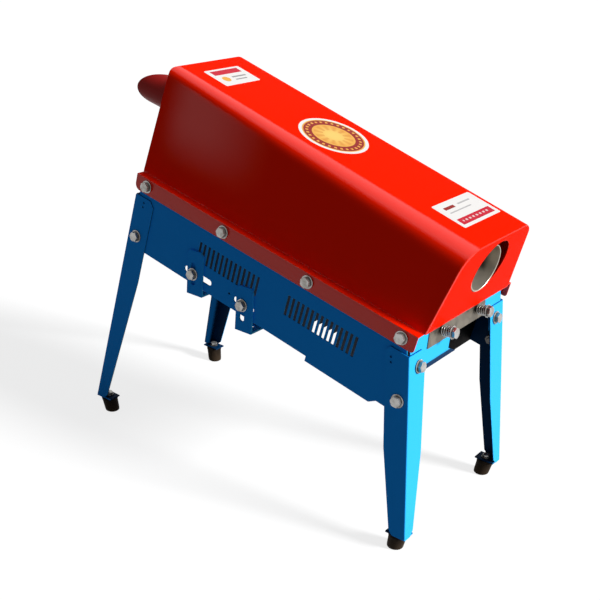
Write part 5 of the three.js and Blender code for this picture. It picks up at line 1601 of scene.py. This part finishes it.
@dataclass
class Fasteners:
    """Every bolt of the machine, each a copy of one of five patterns."""

    flange_bolt: Bolt = Bolt()
    leg_bolt: Bolt = Bolt(grip=3.7)
    foot_bolt: Bolt = Bolt(
        "m6_bolt", grip=8.7, radius=3.0, flats=10.0, head=4.0, bore=3.1, washer=7.0, washer_sheet=1.2,
        washer_edges=(0.4, 0.3), washer_steps=40, nut=0.0, end=0.0, sunk=0.4,
    )
    bracket_bolt: Bolt = Bolt(grip=4.9)
    spring_screw: Bolt = Bolt(grip=3.4, stand=15.6, washer=9.0)
    leg_side: Pair = (-228.5, 249.2)
    leg_side_height: float = -93.0
    leg_end: Pair = (101.0, -48.5)
    tab_height: float = 26.0
    brackets: tuple[tuple[str, float], ...] = (("left", -109.3), ("right", -14.0))
    bracket_height: float = -95.8
    screws: tuple[tuple[str, float], ...] = (("front", -46.0), ("rear", 46.0))
    screw_height: float = -20.0

    def copies(self, shop: Shop, bolt: Bolt, spots: dict[str, Matrix], bodies: dict[str, str]) -> None:
        """Makes a bolt once, copies it to its spots, each turned by its own angle, and removes it.

        Args:
            shop: what hands the pieces over.
            bolt: the pattern.
            spots: the matrix of each place, by the CAD node's name.
            bodies: the body of each node that doesn't ride on the frame.
        """
        master = bolt.make()
        for node, spot in spots.items():
            turn = Matrix.Rotation(math.radians(sum(map(ord, node)) * 37 % 60), 4, "Z")
            piece = Bench.copy(master, f"{node}_dressed", spot @ turn)
            shop.hand_over(piece, "zinc", bodies.get(node, "frame"), [node])
        bpy.data.objects.remove(master)

    def build(self, shop: Shop, legs: Sequence[Leg]) -> None:
        """Makes and hands over every bolt.

        Args:
            shop: what hands the pieces over.
            legs: the legs, which say where their bolts go.
        """
        flanges = {
            f"flange_bolt_{place}_{index + 1}": spot
            for place, side in (("front", Side.FRONT), ("rear", Side.REAR))
            for index, spot in enumerate(side.flange_spots())
        }
        wings: dict[str, Matrix] = {}
        feet: dict[str, Matrix] = {}
        for leg in legs:
            along, (across, height) = self.leg_side[leg.at_outlet], self.leg_end
            on_side = leg.side.place(along, self.leg_side_height, Reach.LEG_SIDE)
            on_end = leg.end.place(leg.side.sign * across, height, leg.reach)
            wings |= {f"leg_side_bolt_{leg.place}": on_side, f"leg_end_bolt_{leg.place}": on_end}
            centre = leg.foot_centre()
            feet[f"foot_bolt_{leg.place}"] = at(centre.x, centre.y, self.tab_height)
        brackets = {
            f"bracket_bolt_{place}": Side.FRONT.place(along, self.bracket_height, Reach.HANGER)
            for place, along in self.brackets
        }
        screws = {
            f"spring_screw_{place}": Side.OUTLET.place(across, self.screw_height, Reach.SPRUNG_PLATE)
            for place, across in self.screws
        }
        clamps = {f"bracket_bolt_{place}": f"clamp_{place}" for place, _ in self.brackets}
        self.copies(shop, self.flange_bolt, flanges, {})
        self.copies(shop, self.leg_bolt, wings, {})
        self.copies(shop, self.foot_bolt, feet, {})
        self.copies(shop, self.bracket_bolt, brackets, clamps)
        self.copies(shop, self.spring_screw, screws, {})


@dataclass
class Spring:
    """A short compression spring between the sprung plate and its screw."""

    place: str
    across: float
    height: float = -20.0
    seat: float = 0.3
    radius: float = 6.6
    wire: float = 0.9
    length: float = 15.0
    shortest: float = 11.0
    curls: int = 4

    def build(self, shop: Shop) -> None:
        """Draws the wire round the screw as one tube.

        Args:
            shop: what hands the pieces over.
        """
        Bench.clear()
        bpy.ops.mesh.primitive_circle_add(
            vertices=14, radius=self.wire * MM, fill_type="NOTHING", rotation=(math.pi / 2, 0, 0),
            location=(self.radius * MM, 0, self.wire * MM),
        )
        piece = Bench.named(f"spring_{self.place}_dressed")
        Bench.modify(
            piece, "SCREW", axis="Z", screw_offset=(self.length - 2 * self.wire) / self.curls * MM,
            iterations=self.curls, steps=40, render_steps=40, use_merge_vertices=True,
            merge_threshold=1e-6,
        )
        with Bench.picked(piece, "EDGE", lambda edge: False):
            bpy.ops.mesh.select_non_manifold(
                extend=False, use_wire=False, use_multi_face=False, use_non_contiguous=False,
                use_verts=False,
            )
            bpy.ops.mesh.fill_holes(sides=0)
        Bench.outward(piece)
        spot = Side.OUTLET.place(self.across, self.height, Reach.SPRUNG_PLATE) @ at(0, 0, self.seat)
        Bench.smooth(Bench.settle(piece, spot), 60)
        shop.hand_over(piece, "zinc", nodes=[f"spring_{self.place}"])
        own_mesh(piece)


@dataclass
class Rotor:
    """The drum on its shaft, the pulley and the two bearings.

    Places along the shaft are in millimetres of the box's frame. Outlines are pairs of radius and
    height, and those of the pulley and the bearings show their upper halves.
    """

    centre: Pair = (5.0, -12.0)
    drum: Pair = (-210.0, 188.0)
    radius: float = 47.0
    inside: float = 43.0
    disc: float = 4.0
    bore: float = 10.3
    window: Pair = (27.0, 9.0)
    bar: float = 8.0
    bar_share: float = 0.24
    bars: int = 6
    twist: float = 180.0
    steps: int = 36
    pulley_place: float = -264.0
    pulley_outline: tuple[Pair, ...] = (
        (10.3, 13.0), (17.2, 13.0), (18.0, 12.2), (18.0, 4.4), (19.0, 3.5), (29.2, 3.5), (30.0, 4.3),
        (30.0, 8.4), (30.6, 9.0), (43.4, 9.0), (44.0, 8.4), (44.0, 7.4), (43.5, 6.8), (35.4, 3.1),
        (35.0, 2.6),
    )
    bearing_places: Pair = (-227.3, 203.2)
    bearing_outline: tuple[Pair, ...] = (
        (10.3, 6.0), (14.2, 6.0), (14.6, 5.6), (14.8, 4.9), (20.2, 4.9), (20.5, 5.6), (20.9, 6.0),
        (23.5, 6.0), (24.0, 5.5),
    )
    shaft_outline: tuple[Pair, ...] = (
        (8.4, -271.0), (10.0, -271.0), (10.0, 211.0), (9.0, 212.0), (0.0, 212.0),
    )
    thread: Pair = (-290.0, -278.0)
    thread_pitch: float = 1.5
    nut_place: float = -277.3
    nut_flats: float = 30.0
    nut_height: float = 8.0
    nut_bore: float = 8.7

    def settled(self, piece: Piece, x: float, angle: float = 30) -> Piece:
        """Lays a piece made along Z into the shaft's line and shades it.

        Args:
            piece: the piece.
            x: where its 0 goes along the shaft.
            angle: faces that meet at less than this many degrees are shaded as one.

        Returns:
            The piece.
        """
        return Bench.smooth(Bench.settle(piece, BOX @ laid(x, *self.centre)), angle)

    def on_bar(self, vertex: bpy.types.MeshVertex) -> bool:
        """Tells whether a vertex of the drum's outline belongs to the top of a bar."""
        turn = (math.atan2(vertex.co.y, vertex.co.x) / (2 * math.pi) * self.bars) % 1
        return min(turn, 1 - turn) < self.bar_share / 2

    def barrel(self) -> Piece:
        """Draws a toothed ring out along Z with a turn at each step, and opens its end discs."""
        Bench.clear()
        sides = self.bars * 10
        bpy.ops.mesh.primitive_circle_add(vertices=sides, radius=self.radius * MM, fill_type="NGON")
        piece = Bench.named("drum")
        for vertex in filter(self.on_bar, piece.data.vertices):
            vertex.co *= (self.radius + self.bar) / self.radius
        length = self.drum[1] - self.drum[0]
        move = {"value": (0, 0, length / self.steps * MM)}
        turn = -math.radians(self.twist / self.steps)
        with Bench.picked(piece, "FACE", every):
            for _ in range(self.steps):
                bpy.ops.mesh.extrude_region_move(TRANSFORM_OT_translate=move)
                bpy.ops.transform.rotate(
                    value=turn, orient_axis="Z", orient_type="GLOBAL", center_override=(0, 0, 0)
                )
        Bench.outward(piece)
        Bench.boolean(piece, Bench.cylinder("hollow_cutter", self.inside, self.disc, length - self.disc))
        Bench.boolean(piece, Bench.cylinder("bore_cutter", self.bore, -5, length + 5, 40))
        away, radius = self.window
        for index in range(4):
            tool = Bench.cylinder("window_cutter", radius, -5, length + 5, 28)
            Bench.settle(tool, Matrix.Rotation(index * math.pi / 2, 4, "Z") @ at(away, 0, 0))
            Bench.boolean(piece, tool)
        Bench.round_edges(piece, 0.5, 50)
        return self.settled(piece, self.drum[0])

    def shaft(self) -> Piece:
        """Spins the stepped shaft with a threaded end."""
        z, end = self.thread
        points: list[Pair] = [(0, z - 1), (7.4, z - 1), (8.4, z)]
        while z < end:
            points += [(7.6, z + self.thread_pitch / 2), (8.4, z + self.thread_pitch)]
            z += self.thread_pitch
        return self.settled(Bench.lathe("shaft", [*points, *self.shaft_outline], 48, closed=False), 0)

    def nut(self) -> Piece:
        """Makes the nut that holds the pulley."""
        piece = Bench.hexagon("shaft_nut", self.nut_flats, -self.nut_height, 0.0, True)
        bore = Bench.cylinder("bore_cutter", self.nut_bore, -self.nut_height - 2, 2, 40)
        return self.settled(Bench.boolean(piece, bore), self.nut_place)

    def build(self, shop: Shop) -> None:
        """Makes and hands over every turning piece and the bearings.

        Args:
            shop: what hands the pieces over.
        """
        shop.hand_over(self.barrel(), "cast_iron", "rotor", ["shelling_drum"])
        pulley = Bench.lathe("pulley", mirrored(self.pulley_outline), 72)
        self.settled(pulley, self.pulley_place, 35)
        shop.hand_over(pulley, "cast_iron", "rotor", ["driven_pulley"])
        shop.hand_over(self.shaft(), "steel", "rotor", ["rotor_shaft"])
        shop.hand_over(self.nut(), "zinc", "rotor", ["pulley_nut"])
        for name, x in zip(("bearing_left", "bearing_right"), self.bearing_places):
            bearing = Bench.lathe(f"{name}_dressed", mirrored(self.bearing_outline), 56)
            shop.hand_over(self.settled(bearing, x, 35), "zinc", nodes=[name])


@dataclass
class Studio:
    """The floor, the lamp, the world and the camera, whose three axes are given beside its place."""

    eye: Triple = (0.799584, -1.052588, 0.80737)
    right: Triple = (0.78475, 0.6185, 0.04029)
    up: Triple = (-0.27353, 0.28725, 0.91797)
    back: Triple = (0.55619, -0.7314, 0.39459)
    lens: float = 58.617
    ambient: float = 0.1
    sky: Triple = (0.95, 0.97, 1)
    white: Triple = (1, 1, 1)
    floor_grey: Triple = (0.3, 0.3, 0.3)
    floor_size: float = 14.0
    floor_drop: float = 0.0004
    glow: float = 0.8
    power: float = 4.5
    spread: float = 14.0
    towards: Triple = (0.835, 0.205, 0.46)

    def camera(self) -> None:
        """Puts the camera where the photograph was taken from."""
        data = bpy.data.cameras.new("camera")
        data.sensor_width = 36
        data.lens = self.lens
        data.clip_start, data.clip_end = 0.05, 50
        camera = bpy.data.objects.new("camera", data)
        bpy.context.collection.objects.link(camera)
        turn = Matrix((self.right, self.up, self.back)).transposed().to_4x4()
        camera.matrix_world = Matrix.Translation(self.eye) @ turn
        bpy.context.scene.camera = camera

    def seen(self, nodes: Nodes, lit: Link, shown: Link) -> Link:
        """Shows one shader to some rays and another to the rest.

        Args:
            nodes: the nodes of the floor or the world.
            lit: the shader for the rays that light the machine.
            shown: the shader for camera, gloss and glass rays.

        Returns:
            The mixed shader.
        """
        path = add_node(nodes.tree, "ShaderNodeLightPath", {})
        rays = ("Is Camera Ray", "Is Glossy Ray", "Is Transmission Ray")
        camera, gloss, glass = (Link(nodes.tree, path.outputs[ray]) for ray in rays)
        return nodes.add("ShaderNodeMixShader", {0: camera.most(gloss).most(glass), 1: lit, 2: shown})

    def world(self) -> None:
        """Lights the scene dimly from all round and shows white behind it."""
        nodes = Nodes(bpy.data.worlds.new("studio"))
        dim = nodes.add("ShaderNodeBackground", {"Color": self.sky, "Strength": self.ambient})
        white = nodes.add("ShaderNodeBackground", {"Color": self.white, "Strength": 1})
        add_node(nodes.tree, "ShaderNodeOutputWorld", {0: self.seen(nodes, dim, white)})
        bpy.context.scene.world = nodes.owner

    def floor(self) -> None:
        """Lays a white floor that keeps the machine's shadow."""
        Bench.clear()
        bpy.ops.mesh.primitive_plane_add(size=self.floor_size, location=(0, 0, -self.floor_drop))
        floor = Bench.named("floor")
        nodes = Nodes(bpy.data.materials.new("white_floor"))
        grey = nodes.add("ShaderNodeBsdfDiffuse", {"Color": self.floor_grey})
        glow = nodes.add("ShaderNodeEmission", {"Color": self.white, "Strength": self.glow})
        both = nodes.add("ShaderNodeAddShader", {0: grey, 1: glow})
        add_node(nodes.tree, "ShaderNodeOutputMaterial", {0: self.seen(nodes, grey, both)})
        floor.data.materials.append(nodes.owner)

    def sun(self) -> None:
        """Adds one broad lamp that shines along the machine from its outlet end."""
        data = bpy.data.lights.new("key", "SUN")
        data.energy = self.power
        data.angle = math.radians(self.spread)
        lamp = bpy.data.objects.new("key", data)
        bpy.context.collection.objects.link(lamp)
        lamp.matrix_world = (-Vector(self.towards)).to_track_quat("-Z", "Y").to_matrix().to_4x4()

    def build(self) -> None:
        """Sets up everything that isn't the machine."""
        self.camera()
        self.world()
        self.floor()
        self.sun()
        bpy.context.scene.view_settings.view_transform = "Standard"


def main() -> None:
    """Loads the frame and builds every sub-assembly."""
    logging.basicConfig(level=logging.INFO, format="%(name)s: %(message)s")
    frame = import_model()
    shop = Shop(frame)
    Studio().build()
    Cover().build(shop)
    Box().build(shop)
    legs = [
        Leg(f"{place}_{end}", at_outlet, side)
        for place, side in (("front", Side.FRONT), ("rear", Side.REAR))
        for end, at_outlet in (("left", False), ("right", True))
    ]
    for leg in legs:
        leg.build(shop)
    fasteners = Fasteners()
    fasteners.build(shop, legs)
    for place, across in fasteners.screws:
        Spring(place, across).build(shop)
    Rotor().build(shop)


if __name__ == "__main__":
    main()
